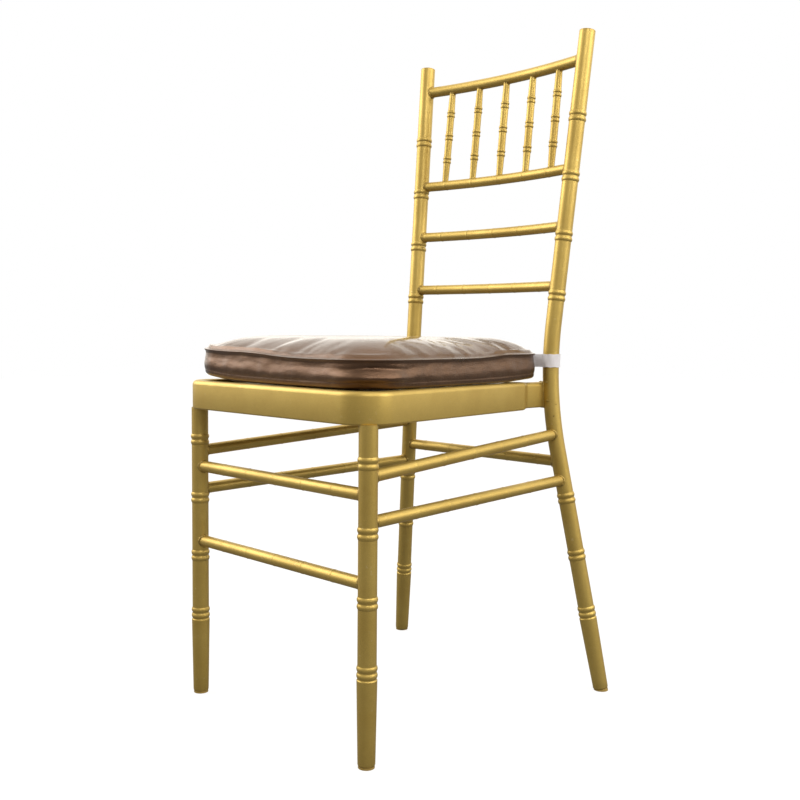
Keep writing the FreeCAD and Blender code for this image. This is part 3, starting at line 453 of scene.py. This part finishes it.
gold_plastic = sprayed("gold_plastic", (0.55, 0.38, 0.11), (0.4, 0.26, 0.07), 0.00002, 0.4, Metallic=0.55)
DOME = [(0.0, 0.0109), (0.0001, 0.01105), (0.0008, 0.0111), (0.0013, 0.0106), (0.0017, 0.0093),
        (0.0021, 0.0072), (0.0024, 0.0042), (0.0025, 0.0012)]
for word, side in (("left", 1), ("right", -1)):
    top, heading = post_point(side, UPPER)
    stations = [(top + heading * rise, heading, radius) for rise, radius in DOME]
    plug = mesh_piece(f"plug_{word}", *swept(stations, TUBE_SIDES, (1, 0, 0)), gold_plastic)
    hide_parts(f"post_plug_{word}")
    for place in ("front", "rear"):
        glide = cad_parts[f"{place}_glide_{word}"]
        glide.data.materials.clear()
        glide.data.materials.append(gold_plastic)

# Rungs: plain tube, cut to the legs and welded, with five faint rings along each, like the joints
# of a cane. The two at each side rise a little to the rear.

RUNG = 0.0076
RING_RISE = 0.00028
RING_HALF = 0.0018
RUNG_RINGS = 5
RUNG_RING_PITCH = 0.056
RUNG_SIDES = 32


def leg_at(side, height):
    return Vector((side * AXIS_X, AXIS_Y, height)), Vector((0, 0, 1))


RUNGS = [("front_rung_upper", leg_at(-1, 0.314), leg_at(1, 0.314)),
         ("front_rung_lower", leg_at(-1, 0.212), leg_at(1, 0.212)),
         ("rear_rung", post_at(-1, 0.32), post_at(1, 0.32))]
for word, side in (("left", 1), ("right", -1)):
    RUNGS.append((f"side_rung_{word}_upper", leg_at(side, 0.335), post_at(side, 0.358)))
    RUNGS.append((f"side_rung_{word}_lower", leg_at(side, 0.2825), post_at(side, 0.2945)))

joints = []
for name, (start, start_axis), (end, end_axis) in RUNGS:
    span = (end - start).length
    heading = (end - start).normalized()
    rings = [span / 2 + (step - (RUNG_RINGS - 1) / 2) * RUNG_RING_PITCH for step in range(RUNG_RINGS)]
    stations = [(start + heading * along, heading, RUNG + bead_rise(along, rings, RING_RISE, RING_HALF))
                for along in stops(0.004, span - 0.004, 0.03, rings, RING_HALF)]
    rung = mesh_piece(name + "_tube", *swept(stations, RUNG_SIDES, (0, 0, 1)), gold_paint)
    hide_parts(name)
    joints.append((start, heading, RUNG, start_axis, TUBE))
    joints.append((end, -heading, RUNG, end_axis, TUBE))

# Back rails: four tubes bent to a shallow bow, welded between the posts. The top one is a little
# thicker and plain, the others have fine rings.

RAIL_BOW = 0.0165
RAIL_RING_PITCH = 0.05
RAILS = [("back_rail_top", 0.8763, 0.0078, 0), ("back_rail_upper", 0.726, 0.0072, 5),
         ("back_rail_middle", 0.6463, 0.0072, 5), ("back_rail_lower", 0.5635, 0.0072, 5)]


def rail_arc(height):
    """Radius of a rail's bow, its centre behind the chair's front, and half its turn."""
    post = post_at(1, height)[0]
    radius = (post.x ** 2 + RAIL_BOW ** 2) / (2 * RAIL_BOW)
    return radius, Vector((0, post.y + RAIL_BOW - radius, height)), math.asin(post.x / radius)


for name, height, thick, count in RAILS:
    radius, centre, half_turn = rail_arc(height)
    rings = [(step - (count - 1) / 2) * RAIL_RING_PITCH for step in range(count)]
    reach = radius * half_turn - 0.004
    stations = []
    for along in stops(-reach, reach, 0.008, rings, RING_HALF):
        turn = along / radius
        spot = centre + Vector((math.sin(turn), math.cos(turn), 0)) * radius
        heading = Vector((math.cos(turn), -math.sin(turn), 0))
        stations.append((spot, heading, thick + bead_rise(along, rings, RING_RISE, RING_HALF)))
    rail = mesh_piece(name + "_tube", *swept(stations, RUNG_SIDES, (0, 0, 1)), gold_paint)
    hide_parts(name)
    for side in (-1, 1):
        heading = Vector((-side * math.cos(half_turn), math.sin(half_turn), 0))
        spot, axis = post_at(side, height)
        joints.append((spot, heading, thick, axis, TUBE))

# Spindles: five turned rods between the two upper rails, thinner at their ends, each with three
# bands of two small beads.

SPINDLE_PITCH = 0.0517
SPINDLE = 0.0055
SPINDLE_END = 0.0045
SPINDLE_BAND_PITCH = 0.036
SPINDLE_BEAD_RISE = 0.0009
SPINDLE_BEAD_HALF = 0.0024
SPINDLE_BEAD_PITCH = 0.0058
SPINDLE_SIDES = 28


def rail_spot(height, across):
    radius, centre, _ = rail_arc(height)
    return Vector((across, centre.y + math.sqrt(radius ** 2 - across ** 2), height))


for number in range(1, 6):
    across = (3 - number) * SPINDLE_PITCH
    low, high = rail_spot(RAILS[1][1], across), rail_spot(RAILS[0][1], across)
    span = (high - low).length
    heading = (high - low).normalized()
    bands = [span / 2 + step * SPINDLE_BAND_PITCH for step in (-1, 0, 1)]
    beads = doubled(bands, SPINDLE_BEAD_PITCH)
    stations = []
    for along in stops(0.003, span - 0.003, 0.012, beads, SPINDLE_BEAD_HALF, bands):
        taper = max(0.0, (abs(along - span / 2) - SPINDLE_BAND_PITCH) / (span / 2 - SPINDLE_BAND_PITCH))
        radius = SPINDLE + (SPINDLE_END - SPINDLE) * taper
        radius += bead_rise(along, beads, SPINDLE_BEAD_RISE, SPINDLE_BEAD_HALF)
        stations.append((low + heading * along, heading, radius))
    rod = mesh_piece(f"rod_{number}", *swept(stations, SPINDLE_SIDES, (1, 0, 0)), gold_paint)
    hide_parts(f"spindle_{number}")
    sideways = Vector((1, 0, 0))
    joints.append((low, heading, SPINDLE_END, sideways, RAILS[1][2]))
    joints.append((high, -heading, SPINDLE_END, sideways, RAILS[0][2]))

# Seat hoop: a flat hollow band with a rounded top lip, bent round the seat. Its two sides are
# pinched into narrower necks that run in an S to the posts.

HOOP_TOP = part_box("seat_hoop")[1][2]
HOOP_THICK = 0.018
HOOP_REACH = 0.021
HOOP_FRONT = AXIS_Y - HOOP_REACH
HOOP_CORNER = 0.041
HOOP_FRONT_HALF = AXIS_X + HOOP_REACH
HOOP_REAR_HALF = 0.1385
HOOP_END = AXIS_Y + 0.311
NECK_START = AXIS_Y + 0.328
NECK_END = 0.160
NECK_HALF = 0.133
NECK_THICK = 0.014
NECK_HIGH = 0.035
NECK_DROP = 0.00125
HOOP_LIP = 0.0058
NECK_LIP = 0.004
HEM = 0.0022
lean = math.atan((HOOP_FRONT_HALF - HOOP_REAR_HALF) / (HOOP_END - HOOP_FRONT))


def band_section(width, height, lip, hem):
    """Points round a standing band, each as across and up from its middle."""
    points = []
    corners = ((1, -1, hem, -90), (1, 1, lip, 0), (-1, 1, lip, 90), (-1, -1, hem, 180))
    for corner_x, corner_z, radius, start in corners:
        for step in range(6):
            turn = math.radians(start + 18 * step)
            points.append((corner_x * (width / 2 - radius) + radius * math.cos(turn),
                           corner_z * (height / 2 - radius) + radius * math.sin(turn)))
    return points


def ease(share):
    share = min(max(share, 0.0), 1.0)
    return share * share * (3 - 2 * share)


def hoop_stations():
    """Half of the band from its front middle to the end of a neck: place, heading and section."""
    middle = HOOP_THICK / 2
    end_x = HOOP_REAR_HALF - middle * math.cos(lean)
    end_y = HOOP_END - middle * math.sin(lean)
    line_y = HOOP_FRONT + middle
    radius = HOOP_CORNER - middle
    bend_x = end_x + (end_y - line_y) * math.tan(lean) - radius * math.tan((math.pi / 2 + lean) / 2)
    rows = []
    full = (HOOP_THICK, HOOP_TOP - HOOP_LOW, (HOOP_TOP + HOOP_LOW) / 2)
    for step in range(12):
        rows.append((bend_x * step / 12, line_y, 0.0, *full))
    for step in range(17):
        turn = (math.pi / 2 + lean) * step / 16
        rows.append((bend_x + radius * math.sin(turn), line_y + radius * (1 - math.cos(turn)), turn, *full))
    start = rows[-1]
    for step in range(1, 25):
        share = step / 24
        rows.append((start[0] + (end_x - start[0]) * share, start[1] + (end_y - start[1]) * share,
                     math.pi / 2 + lean, *full))
    neck_x = NECK_HALF - NECK_THICK / 2
    neck_z = HOOP_TOP - NECK_DROP - NECK_HIGH / 2
    for step in range(1, 13):
        share = ease(step / 12)
        rows.append((end_x + (neck_x - end_x) * share, end_y + (NECK_START - end_y) * step / 12,
                     math.pi / 2 + lean * (1 - share), HOOP_THICK + (NECK_THICK - HOOP_THICK) * share,
                     full[1] + (NECK_HIGH - full[1]) * share, full[2] + (neck_z - full[2]) * share))
    rows.append((neck_x, NECK_END, math.pi / 2, NECK_THICK, NECK_HIGH, neck_z))
    return rows


half_rows = hoop_stations()
verts = []
faces = []
mirrored = [(-x, y, math.pi - turn, width, height, z)
            for x, y, turn, width, height, z in reversed(half_rows[1:])]
section_count = 24
for index, (x, y, turn, width, height, z) in enumerate(mirrored + half_rows):
    if index < len(mirrored):
        heading = Vector((math.cos(math.pi - turn), -math.sin(math.pi - turn), 0))
    else:
        heading = Vector((math.cos(turn), math.sin(turn), 0))
    outward = Vector((heading.y, -heading.x, 0))
    for across, rise in band_section(width, height, HOOP_LIP, HEM):
        verts.append(Vector((x, y, z + rise)) + outward * across)
rows = len(mirrored) + len(half_rows)
for row in range(rows - 1):
    for step in range(section_count):
        following = (step + 1) % section_count
        faces.append((row * section_count + step, (row + 1) * section_count + step,
                      (row + 1) * section_count + following, row * section_count + following))
faces.append(tuple(range(section_count)))
faces.append(tuple(reversed(range((rows - 1) * section_count, rows * section_count))))
hoop = mesh_piece("hoop_band", verts, faces, gold_paint)
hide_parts("seat_hoop")

# Seat pan and cross rail: a pressed sheet inside the hoop and the plain box tube behind it. Both
# keep their solids, under the same paint, glossier on the flat sheet.

pan_paint = sprayed("pan_paint", (0.62, 0.45, 0.15), (0.5, 0.34, 0.09), 0.00003, 0.2,
                    Metallic=0.8, Coat_Weight=0.4, Coat_Roughness=0.12)
for name, paint in (("seat_pan", pan_paint), ("seat_rear_rail", gold_paint)):
    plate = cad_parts[name]
    plate.data.materials.clear()
    plate.data.materials.append(paint)

# Welds: an uneven bead of filler runs round the end of every rung, rail and spindle, and round
# the necks. Beads vary in width and ripple as they were laid, with some spatter beside them.

random.seed(7)
WELD = 0.0017
THIN_BAR = 0.006
WELD_STEPS = 72
SPATTER = 3


def joint_loop(spot, heading, radius, axis, wall, steps):
    """Points where a round bar of a radius meets a round wall about an axis through the same spot."""
    across = heading.cross(axis).normalized()
    upward = across.cross(heading).normalized()
    loop = []
    for step in range(steps):
        turn = 2 * math.pi * step / steps
        out = across * math.cos(turn) + upward * math.sin(turn)
        start = spot + out * radius
        low, high = 0.0, wall * 3
        for _ in range(24):
            middle = (low + high) / 2
            point = start + heading * middle
            away = point - spot
            if (away - axis * away.dot(axis)).length < wall:
                low = middle
            else:
                high = middle
        loop.append((start + heading * low, out))
    return loop


def weld_bead(loop, heading, size, verts, faces):
    """A closed rippled bead along a loop, added to the points and faces of the welds."""
    first = len(verts)
    steps = len(loop)
    sides = 8
    phase = random.random() * 6.28
    ripples = random.randint(11, 15)
    for step, (point, out) in enumerate(loop):
        turn = 2 * math.pi * step / steps
        swell = 0.78 + 0.16 * math.sin(turn * 2 + phase) + 0.1 * abs(math.sin(turn * ripples / 2 + phase))
        thick = size * swell * random.uniform(0.92, 1.08)
        for corner in range(sides):
            angle = 2 * math.pi * corner / sides
            around = out * math.cos(angle) + heading * (math.sin(angle) * 1.25)
            verts.append(point + around * thick)
    for step in range(steps):
        following = (step + 1) % steps
        for corner in range(sides):
            beside = (corner + 1) % sides
            faces.append((first + step * sides + corner, first + following * sides + corner,
                          first + following * sides + beside, first + step * sides + beside))


weld_verts = []
weld_faces = []
for spot, heading, radius, axis, wall in joints:
    size = WELD if radius > THIN_BAR else WELD * 0.5
    loop = joint_loop(spot, heading, radius, axis, wall, WELD_STEPS)
    weld_bead(loop, heading, size, weld_verts, weld_faces)


def neck_loop(side, steps):
    """Points where a neck's section meets the post beside it; its inner side runs on to the neck's end."""
    neck_z = HOOP_TOP - NECK_DROP - NECK_HIGH / 2
    loop = []
    for across, up in band_section(NECK_THICK, NECK_HIGH, NECK_LIP, HEM):
        point = Vector((side * (NECK_HALF - NECK_THICK / 2 + across), NECK_END - 0.014, neck_z + up))
        spot, axis = post_at(side, point.z)
        for _ in range(steps):
            away = point - spot
            if (away - axis * away.dot(axis)).length < TUBE or point.y >= NECK_END:
                break
            point = point + Vector((0, 0.0002, 0))
        loop.append((point, Vector((side * across, 0, up)).normalized()))
    return loop


for side in (-1, 1):
    weld_bead(neck_loop(side, 200), Vector((0, 1, 0)), WELD, weld_verts, weld_faces)


def droplet(place, radius):
    """A low blob of spatter, six sided and flattened."""
    first = len(weld_verts)
    for rise, share in ((-0.5, 0.7), (0.1, 1.0), (0.55, 0.6)):
        for step in range(6):
            turn = math.pi / 3 * step
            offset = Vector((math.cos(turn) * share, math.sin(turn) * share, rise))
            weld_verts.append(place + offset * radius)
    for row in range(2):
        for step in range(6):
            following = (step + 1) % 6
            weld_faces.append((first + row * 6 + step, first + row * 6 + following,
                               first + row * 6 + 6 + following, first + row * 6 + 6 + step))
    weld_faces.append(tuple(first + 12 + step for step in range(6)))
    weld_faces.append(tuple(first + 5 - step for step in range(6)))


for spot, heading, radius, axis, wall in joints:
    if radius < THIN_BAR:
        continue
    for _ in range(SPATTER):
        turn = random.uniform(0, 2 * math.pi)
        across = heading.cross(axis).normalized()
        upward = across.cross(heading).normalized()
        out = across * math.cos(turn) + upward * math.sin(turn)
        reach = wall + random.uniform(0.002, 0.009)
        droplet(spot + heading * reach + out * radius, random.uniform(0.0003, 0.0006))

# The welds' paint is a darker gold whose second colour is near black. Its small patches are painted shade,
# standing for the shadowed crevices where the tubes meet.
weld_paint_with_painted_shade = sprayed("weld_paint_with_painted_shade", (0.5, 0.34, 0.08), (0.015, 0.009, 0.003), 0.0001, 0.34, 160.0,
                     Metallic=0.75, Coat_Weight=0.25, Coat_Roughness=0.2)
NECK_SPATTER = ((0.43, -84, 0.0022), (0.405, -84, 0.0025), (0.384, -45, 0.0014), (0.4, -20, 0.0011))
for side in (-1, 1):
    for height, turn, radius in NECK_SPATTER:
        spot, _ = post_at(side, height)
        swing = math.radians(turn)
        droplet(spot + Vector((side * math.cos(swing), math.sin(swing), 0)) * TUBE, radius)

welds = mesh_piece("welds", weld_verts, weld_faces, weld_paint_with_painted_shade)

# Cushion: foam in a bronze leatherette cover, boxed all round. The top and the underside are sewn
# to the boxing with raised seams, the crown is full, and the corners curl up off the seat, the
# right front one most.

cushion_low, cushion_high = (Vector(corner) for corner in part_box("cushion"))
SEAT_HALF = 0.1835
SEAT_REAR_HALF = 0.133
SEAT_FRONT = cushion_low.y
SEAT_BACK = cushion_high.y
SEAT_FRONT_CORNER = 0.05
SEAT_REAR_CORNER = 0.028
SEAT_BASE = cushion_low.z
LOWER_SEAM = 0.006
UPPER_SEAM = 0.033
CROWN = cushion_high.z - SEAT_BASE - UPPER_SEAM
AROUND = 240


def cover_outline():
    """Evenly spaced points round the cushion, counter-clockwise from above, each with its way outwards."""
    corners = [Vector((SEAT_HALF, SEAT_FRONT)), Vector((SEAT_REAR_HALF, SEAT_BACK)),
               Vector((-SEAT_REAR_HALF, SEAT_BACK)), Vector((-SEAT_HALF, SEAT_FRONT))]
    radii = [SEAT_FRONT_CORNER, SEAT_REAR_CORNER, SEAT_REAR_CORNER, SEAT_FRONT_CORNER]
    dense = []
    for index, corner in enumerate(corners):
        before = (corners[index - 1] - corner).normalized()
        after = (corners[(index + 1) % 4] - corner).normalized()
        half = before.angle(after) / 2
        radius = radii[index]
        centre = corner + (before + after).normalized() * (radius / math.sin(half))
        start = corner + before * (radius / math.tan(half)) - centre
        swing = math.pi - 2 * half
        for step in range(41):
            turn = swing * step / 40
            dense.append(centre + Vector((start.x * math.cos(turn) - start.y * math.sin(turn),
                                          start.x * math.sin(turn) + start.y * math.cos(turn))))
    lengths = [0.0]
    for index, point in enumerate(dense):
        lengths.append(lengths[-1] + (dense[(index + 1) % len(dense)] - point).length)
    points = []
    place = 0
    for step in range(AROUND):
        target = lengths[-1] * step / AROUND
        while lengths[place + 1] < target:
            place += 1
        share = (target - lengths[place]) / (lengths[place + 1] - lengths[place])
        points.append(dense[place].lerp(dense[(place + 1) % len(dense)], share))
    made = []
    for step, point in enumerate(points):
        along = (points[(step + 1) % AROUND] - points[step - 1]).normalized()
        made.append((point, Vector((along.y, -along.x))))
    return made


cover = cover_outline()
SEAT_MIDDLE = Vector((0, (SEAT_FRONT + SEAT_BACK) / 2))
curls = [(Vector((-SEAT_HALF, SEAT_FRONT)), 0.009, 0.075),
         (Vector((SEAT_REAR_HALF, SEAT_BACK)), 0.004, 0.06),
         (Vector((SEAT_HALF, SEAT_FRONT)), 0.0005, 0.07),
         (Vector((-SEAT_REAR_HALF, SEAT_BACK)), 0.004, 0.06)]


def plump(place):
    """How much thicker the filling stands beside the left rear corner and the right front one."""
    spot = Vector((place.x, place.y))
    rear_away = (spot - Vector((SEAT_REAR_HALF, SEAT_BACK))).length
    front_away = (spot - Vector((-SEAT_HALF, SEAT_FRONT))).length
    rear = 0.003 * math.exp(-((rear_away - 0.085) / 0.045) ** 2)
    return rear + 0.0048 * math.exp(-((front_away - 0.13) / 0.07) ** 2)


def curl(place):
    """How far the cover's edge lifts off the seat near its corners."""
    rise = 0.0
    for corner, height, reach in curls:
        rise += height * math.exp(-((Vector((place.x, place.y)) - corner).length / reach) ** 2)
    return rise


PROFILE = [
    ("under", 0.55, 0.0), ("under", 0.8, 0.0), ("under", 0.93, 0.0),
    ("edge", -0.006, 0.0001), ("edge", -0.0034, 0.0007), ("edge", -0.0017, 0.0021),
    ("edge", -0.0008, 0.0038), ("edge", -0.0007, 0.0056), ("edge", -0.0003, 0.0064),
    ("edge", -0.0006, 0.0071), ("edge", -0.0002, 0.0086), ("edge", 0.0002, 0.0105),
    ("edge", 0.0005, 0.0125), ("edge", 0.0006, 0.0145), ("edge", 0.0004, 0.0165),
    ("edge", 0.0, 0.0185), ("edge", -0.0004, 0.0202), ("edge", -0.0007, 0.0218),
    ("edge", -0.001, 0.0234), ("edge", -0.0012, 0.025), ("edge", -0.0013, 0.0268),
    ("edge", -0.0013, 0.0286), ("edge", -0.0012, 0.0303), ("edge", -0.0004, 0.0318),
    ("edge", 0.0006, 0.0328), ("edge", 0.0008, 0.0338), ("edge", 0.0001, 0.0344),
    ("edge", -0.0009, 0.0342), ("edge", -0.0022, 0.0344), ("edge", -0.0042, 0.0362),
    ("edge", -0.0066, 0.0392),
]
CROWN_SHARES = (0.952, 0.935, 0.915, 0.89, 0.86, 0.82, 0.77, 0.7, 0.61, 0.5, 0.38, 0.25, 0.12)


def crown_height(share):
    return UPPER_SEAM + CROWN * (1 - share ** 7)


def pull(place, rise):
    """How far the boxing stands out: a crease over a bulge at one corner, slight waves all round."""
    away = (Vector((place.x, place.y)) - Vector((SEAT_HALF, SEAT_FRONT + 0.012))).length
    near = math.exp(-((away - 0.012) / 0.04) ** 2)
    crease_rise = 0.0235 + 0.0012 * math.sin(away * 90)
    bulge = 0.0042 * math.exp(-((rise - 0.0135) / 0.0055) ** 2)
    out = near * (bulge - 0.0024 * math.exp(-((rise - crease_rise) / 0.0026) ** 2))
    body = math.sin(min(max((rise - LOWER_SEAM) / (UPPER_SEAM - LOWER_SEAM), 0.0), 1.0) * math.pi)
    out += body * 0.0004 * noise.noise(Vector((place.x * 17, place.y * 17, rise * 120)))
    grain = noise.noise(Vector((place.x * 60 + 7, place.y * 60, rise * 420)))
    out += body * (0.0003 + 0.0006 * near) * grain
    return out


verts = []
for kind, first, second in PROFILE:
    for step, (point, outward) in enumerate(cover):
        if kind == "under":
            flat = SEAT_MIDDLE + (point - SEAT_MIDDLE) * first
            verts.append(Vector((flat.x, flat.y, SEAT_BASE + curl(flat) * first ** 3)))
            continue
        flat = point + outward * (first + pull(point, second))
        lift = curl(flat) + plump(flat) * second / UPPER_SEAM
        verts.append(Vector((flat.x, flat.y, SEAT_BASE + second + lift)))
for share in CROWN_SHARES:
    for point, outward in cover:
        flat = SEAT_MIDDLE + (point - SEAT_MIDDLE) * share
        gather = 0.0016 * share ** 10 * noise.noise(Vector((point.x * 70, point.y * 70, 3.0)))
        wave = 0.0012 * noise.noise(Vector((flat.x * 16, flat.y * 16, 1.0)))
        lift = curl(flat) * share ** 4 + plump(flat) * share ** 8
        rise = crown_height(share) + lift + gather + wave * (1 - share ** 12)
        verts.append(Vector((flat.x, flat.y, SEAT_BASE + rise)))
verts.append(Vector((SEAT_MIDDLE.x, SEAT_MIDDLE.y, SEAT_BASE)))
verts.append(Vector((SEAT_MIDDLE.x, SEAT_MIDDLE.y, SEAT_BASE + UPPER_SEAM + CROWN)))
levels = len(PROFILE) + len(CROWN_SHARES)
faces = []
for row in range(levels - 1):
    for step in range(AROUND):
        following = (step + 1) % AROUND
        faces.append((row * AROUND + step, row * AROUND + following,
                      (row + 1) * AROUND + following, (row + 1) * AROUND + step))
for step in range(AROUND):
    following = (step + 1) % AROUND
    faces.append((levels * AROUND, following, step))
    faces.append((levels * AROUND + 1, (levels - 1) * AROUND + step, (levels - 1) * AROUND + following))

leatherette, leather_tree, leather_skin = finish("leatherette", Metallic=0.85, Coat_Roughness=0.1)
place = node(leather_tree, "ShaderNodeTexCoord", (-1300, 0))
pebble = node(leather_tree, "ShaderNodeTexVoronoi", (-1000, -200), feature="DISTANCE_TO_EDGE", Scale=620.0)
crease = node(leather_tree, "ShaderNodeTexNoise", (-1000, -500), Scale=240.0, Detail=5.0)
drift = node(leather_tree, "ShaderNodeTexNoise", (-1000, 200), Scale=18.0, Detail=4.0)
height = node(leather_tree, "ShaderNodeMath", (-700, -300), operation="MULTIPLY_ADD")
height.inputs[1].default_value = 1.6
bump = node(leather_tree, "ShaderNodeBump", (-300, -300), Distance=0.0003, Strength=0.8)
tone = node(leather_tree, "ShaderNodeMix", (-400, 200), data_type="RGBA",
            A=(0.1, 0.054, 0.03, 1), B=(0.165, 0.094, 0.055, 1))
glance = node(leather_tree, "ShaderNodeLayerWeight", (-700, 450), Blend=0.5)
lacquer = node(leather_tree, "ShaderNodeMapRange", (-400, 450), From_Min=0.45, From_Max=0.88, To_Min=0.06)
gloss = node(leather_tree, "ShaderNodeMapRange", (-400, -50), To_Min=0.2, To_Max=0.42)
wire(leather_tree, (glance, "Facing", lacquer, "Value"),
     (lacquer, "Result", leather_skin, "Coat Weight"))
wire(leather_tree, (place, "Object", pebble, "Vector"), (place, "Object", crease, "Vector"),
     (place, "Object", drift, "Vector"), (pebble, "Distance", height, 0), (crease, "Fac", height, 2),
     (height, "Value", bump, "Height"), (bump, "Normal", leather_skin, "Normal"),
     (drift, "Fac", tone, "Factor"), (tone, "Result", leather_skin, "Base Color"),
     (drift, "Fac", gloss, "Value"), (gloss, "Result", leather_skin, "Roughness"))
pad = mesh_piece("cushion_cover", verts, faces, leatherette, None)


def inflate(piece, voxel, pressure, cap, share):
    """Lets the cover settle over its filling as cloth, and moves the sewn mesh part of the way there."""
    model = bpy.data.objects.new("filling", piece.data.copy())
    scene.collection.objects.link(model)
    remesh = model.modifiers.new("even", "REMESH")
    remesh.mode = "VOXEL"
    remesh.voxel_size = voxel
    depsgraph = bpy.context.evaluated_depsgraph_get()
    even = bpy.data.meshes.new_from_object(model.evaluated_get(depsgraph))
    model.modifiers.remove(remesh)
    model.data = even
    held = model.vertex_groups.new(name="held")
    for point in even.vertices:
        depth = point.co.z - SEAT_BASE - curl(point.co) - plump(point.co)
        if depth < LOWER_SEAM or abs(depth - UPPER_SEAM) < voxel * 0.6:
            held.add([point.index], 1.0, "REPLACE")
    rest = [point.co.copy() for point in even.vertices]
    cloth = model.modifiers.new("cloth", "CLOTH")
    cloth.settings.quality = 6
    cloth.settings.use_pressure = True
    cloth.settings.uniform_pressure_force = pressure
    cloth.settings.vertex_group_mass = "held"
    cloth.settings.effector_weights.gravity = 0.0
    cloth.settings.shrink_min = -0.02
    cloth.settings.tension_stiffness = cloth.settings.compression_stiffness = 25
    cloth.settings.bending_stiffness = 0.6
    cloth.point_cache.frame_start, cloth.point_cache.frame_end = 1, 20
    for step in range(1, 21):
        scene.frame_set(step)
    depsgraph = bpy.context.evaluated_depsgraph_get()
    settled = model.evaluated_get(depsgraph).to_mesh()
    tree = KDTree(len(rest))
    moves = []
    for index, point in enumerate(settled.vertices):
        move = point.co - rest[index]
        moves.append(move * min(1.0, cap / max(move.length, 1e-9)))
        tree.insert(rest[index], index)
    tree.balance()
    for point in piece.data.vertices:
        near = tree.find_n(point.co, 6)
        weights = [1 / (away + 0.0005) for _, _, away in near]
        move = sum((moves[index] * weight for (_, index, _), weight in zip(near, weights)), Vector())
        point.co += move * (share / sum(weights))
    scene.frame_set(1)
    bpy.data.objects.remove(model)
    print("cover settled, largest move", round(max(move.length for move in moves) * 1000, 2), "mm")


inflate(pad, voxel=0.005, pressure=4.0, cap=0.005, share=0.45)
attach(pad, "cushion")
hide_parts("cushion")

# Straps: a pale cotton tape sewn into the cushion's back corner, wrapped once round the post and
# pressed together beyond it, where the free end stands out.

TAPE_HALF = 0.009
TAPE = 0.0012
TAPE_RISE = 0.46
WRAP_STEPS = 24
WRAP_TURN = 250
tape_cloth, tape_tree, tape_skin = finish("strap_cloth", Roughness=0.85, Sheen_Weight=0.3)
place = node(tape_tree, "ShaderNodeTexCoord", (-1100, 0))
warp = node(tape_tree, "ShaderNodeTexWave", (-800, 100), Scale=900.0, bands_direction="Z", Distortion=0.6)
weft = node(tape_tree, "ShaderNodeTexWave", (-800, -200), Scale=900.0, bands_direction="DIAGONAL",
            Distortion=0.6)
weave = node(tape_tree, "ShaderNodeMath", (-500, 0), operation="ADD")
cloth_bump = node(tape_tree, "ShaderNodeBump", (-250, -200), Distance=0.0002, Strength=0.5)
cloth_tone = node(tape_tree, "ShaderNodeMix", (-250, 100), data_type="RGBA",
                  A=(0.72, 0.68, 0.7, 1), B=(0.87, 0.84, 0.86, 1))
wire(tape_tree, (place, "Object", warp, "Vector"), (place, "Object", weft, "Vector"),
     (warp, "Fac", weave, 0), (weft, "Fac", weave, 1), (weave, "Value", cloth_bump, "Height"),
     (weave, "Value", cloth_tone, "Factor"), (cloth_tone, "Result", tape_skin, "Base Color"),
     (cloth_bump, "Normal", tape_skin, "Normal"))


def tape_route(side, centre):
    """Plan points of the tape: from the cushion's back edge, round the post, to the free end."""
    wrap = TUBE + 0.0004 + TAPE / 2
    route = [Vector((side * 0.1, SEAT_BACK - 0.006)), Vector((side * 0.107, SEAT_BACK + 0.001)),
             Vector((side * 0.115, SEAT_BACK + 0.003))]
    for step in range(WRAP_STEPS + 1):
        swing = WRAP_TURN / WRAP_STEPS * step
        turn = math.radians(-125 + swing if side > 0 else -55 - swing)
        route.append(centre + Vector((math.cos(turn), math.sin(turn))) * wrap)
    return route


for word, side in (("left", 1), ("right", -1)):
    spot, axis = post_at(side, TAPE_RISE)
    lean_out = Vector((axis.x, axis.y)) / axis.z
    route = tape_route(side, Vector((spot.x, spot.y)))
    verts = []
    for index, point in enumerate(route):
        before, after = route[max(index - 1, 0)], route[min(index + 1, len(route) - 1)]
        along = (after - before).normalized()
        out = Vector((along.y, -along.x))
        for rise in (-1, -0.5, 0, 0.5, 1):
            droop = 0.0003 * math.sin(index * 1.3 + rise * 2)
            shift = lean_out * (rise * TAPE_HALF) * min(1.0, index / 3)
            for face in (-1, 1):
                flat = point + out * (TAPE / 2 * face + droop) + shift
                verts.append(Vector((flat.x, flat.y, spot.z + rise * TAPE_HALF + droop)))
    faces = []
    for row in range(len(route) - 1):
        a, b = row * 10, row * 10 + 10
        for strip in range(4):
            low, high = strip * 2, strip * 2 + 2
            faces.append((a + low, b + low, b + high, a + high))
            faces.append((a + low + 1, a + high + 1, b + high + 1, b + low + 1))
        faces.append((a, a + 1, b + 1, b))
        faces.append((a + 8, b + 8, b + 9, a + 9))
    for end in (0, (len(route) - 1) * 10):
        for strip in range(4):
            low = end + strip * 2
            faces.append((low, low + 2, low + 3, low + 1))
    tape = mesh_piece(f"strap_{word}", verts, faces, tape_cloth, None)
    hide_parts(f"strap_loop_{word}", f"strap_tab_{word}")
    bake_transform(tape)
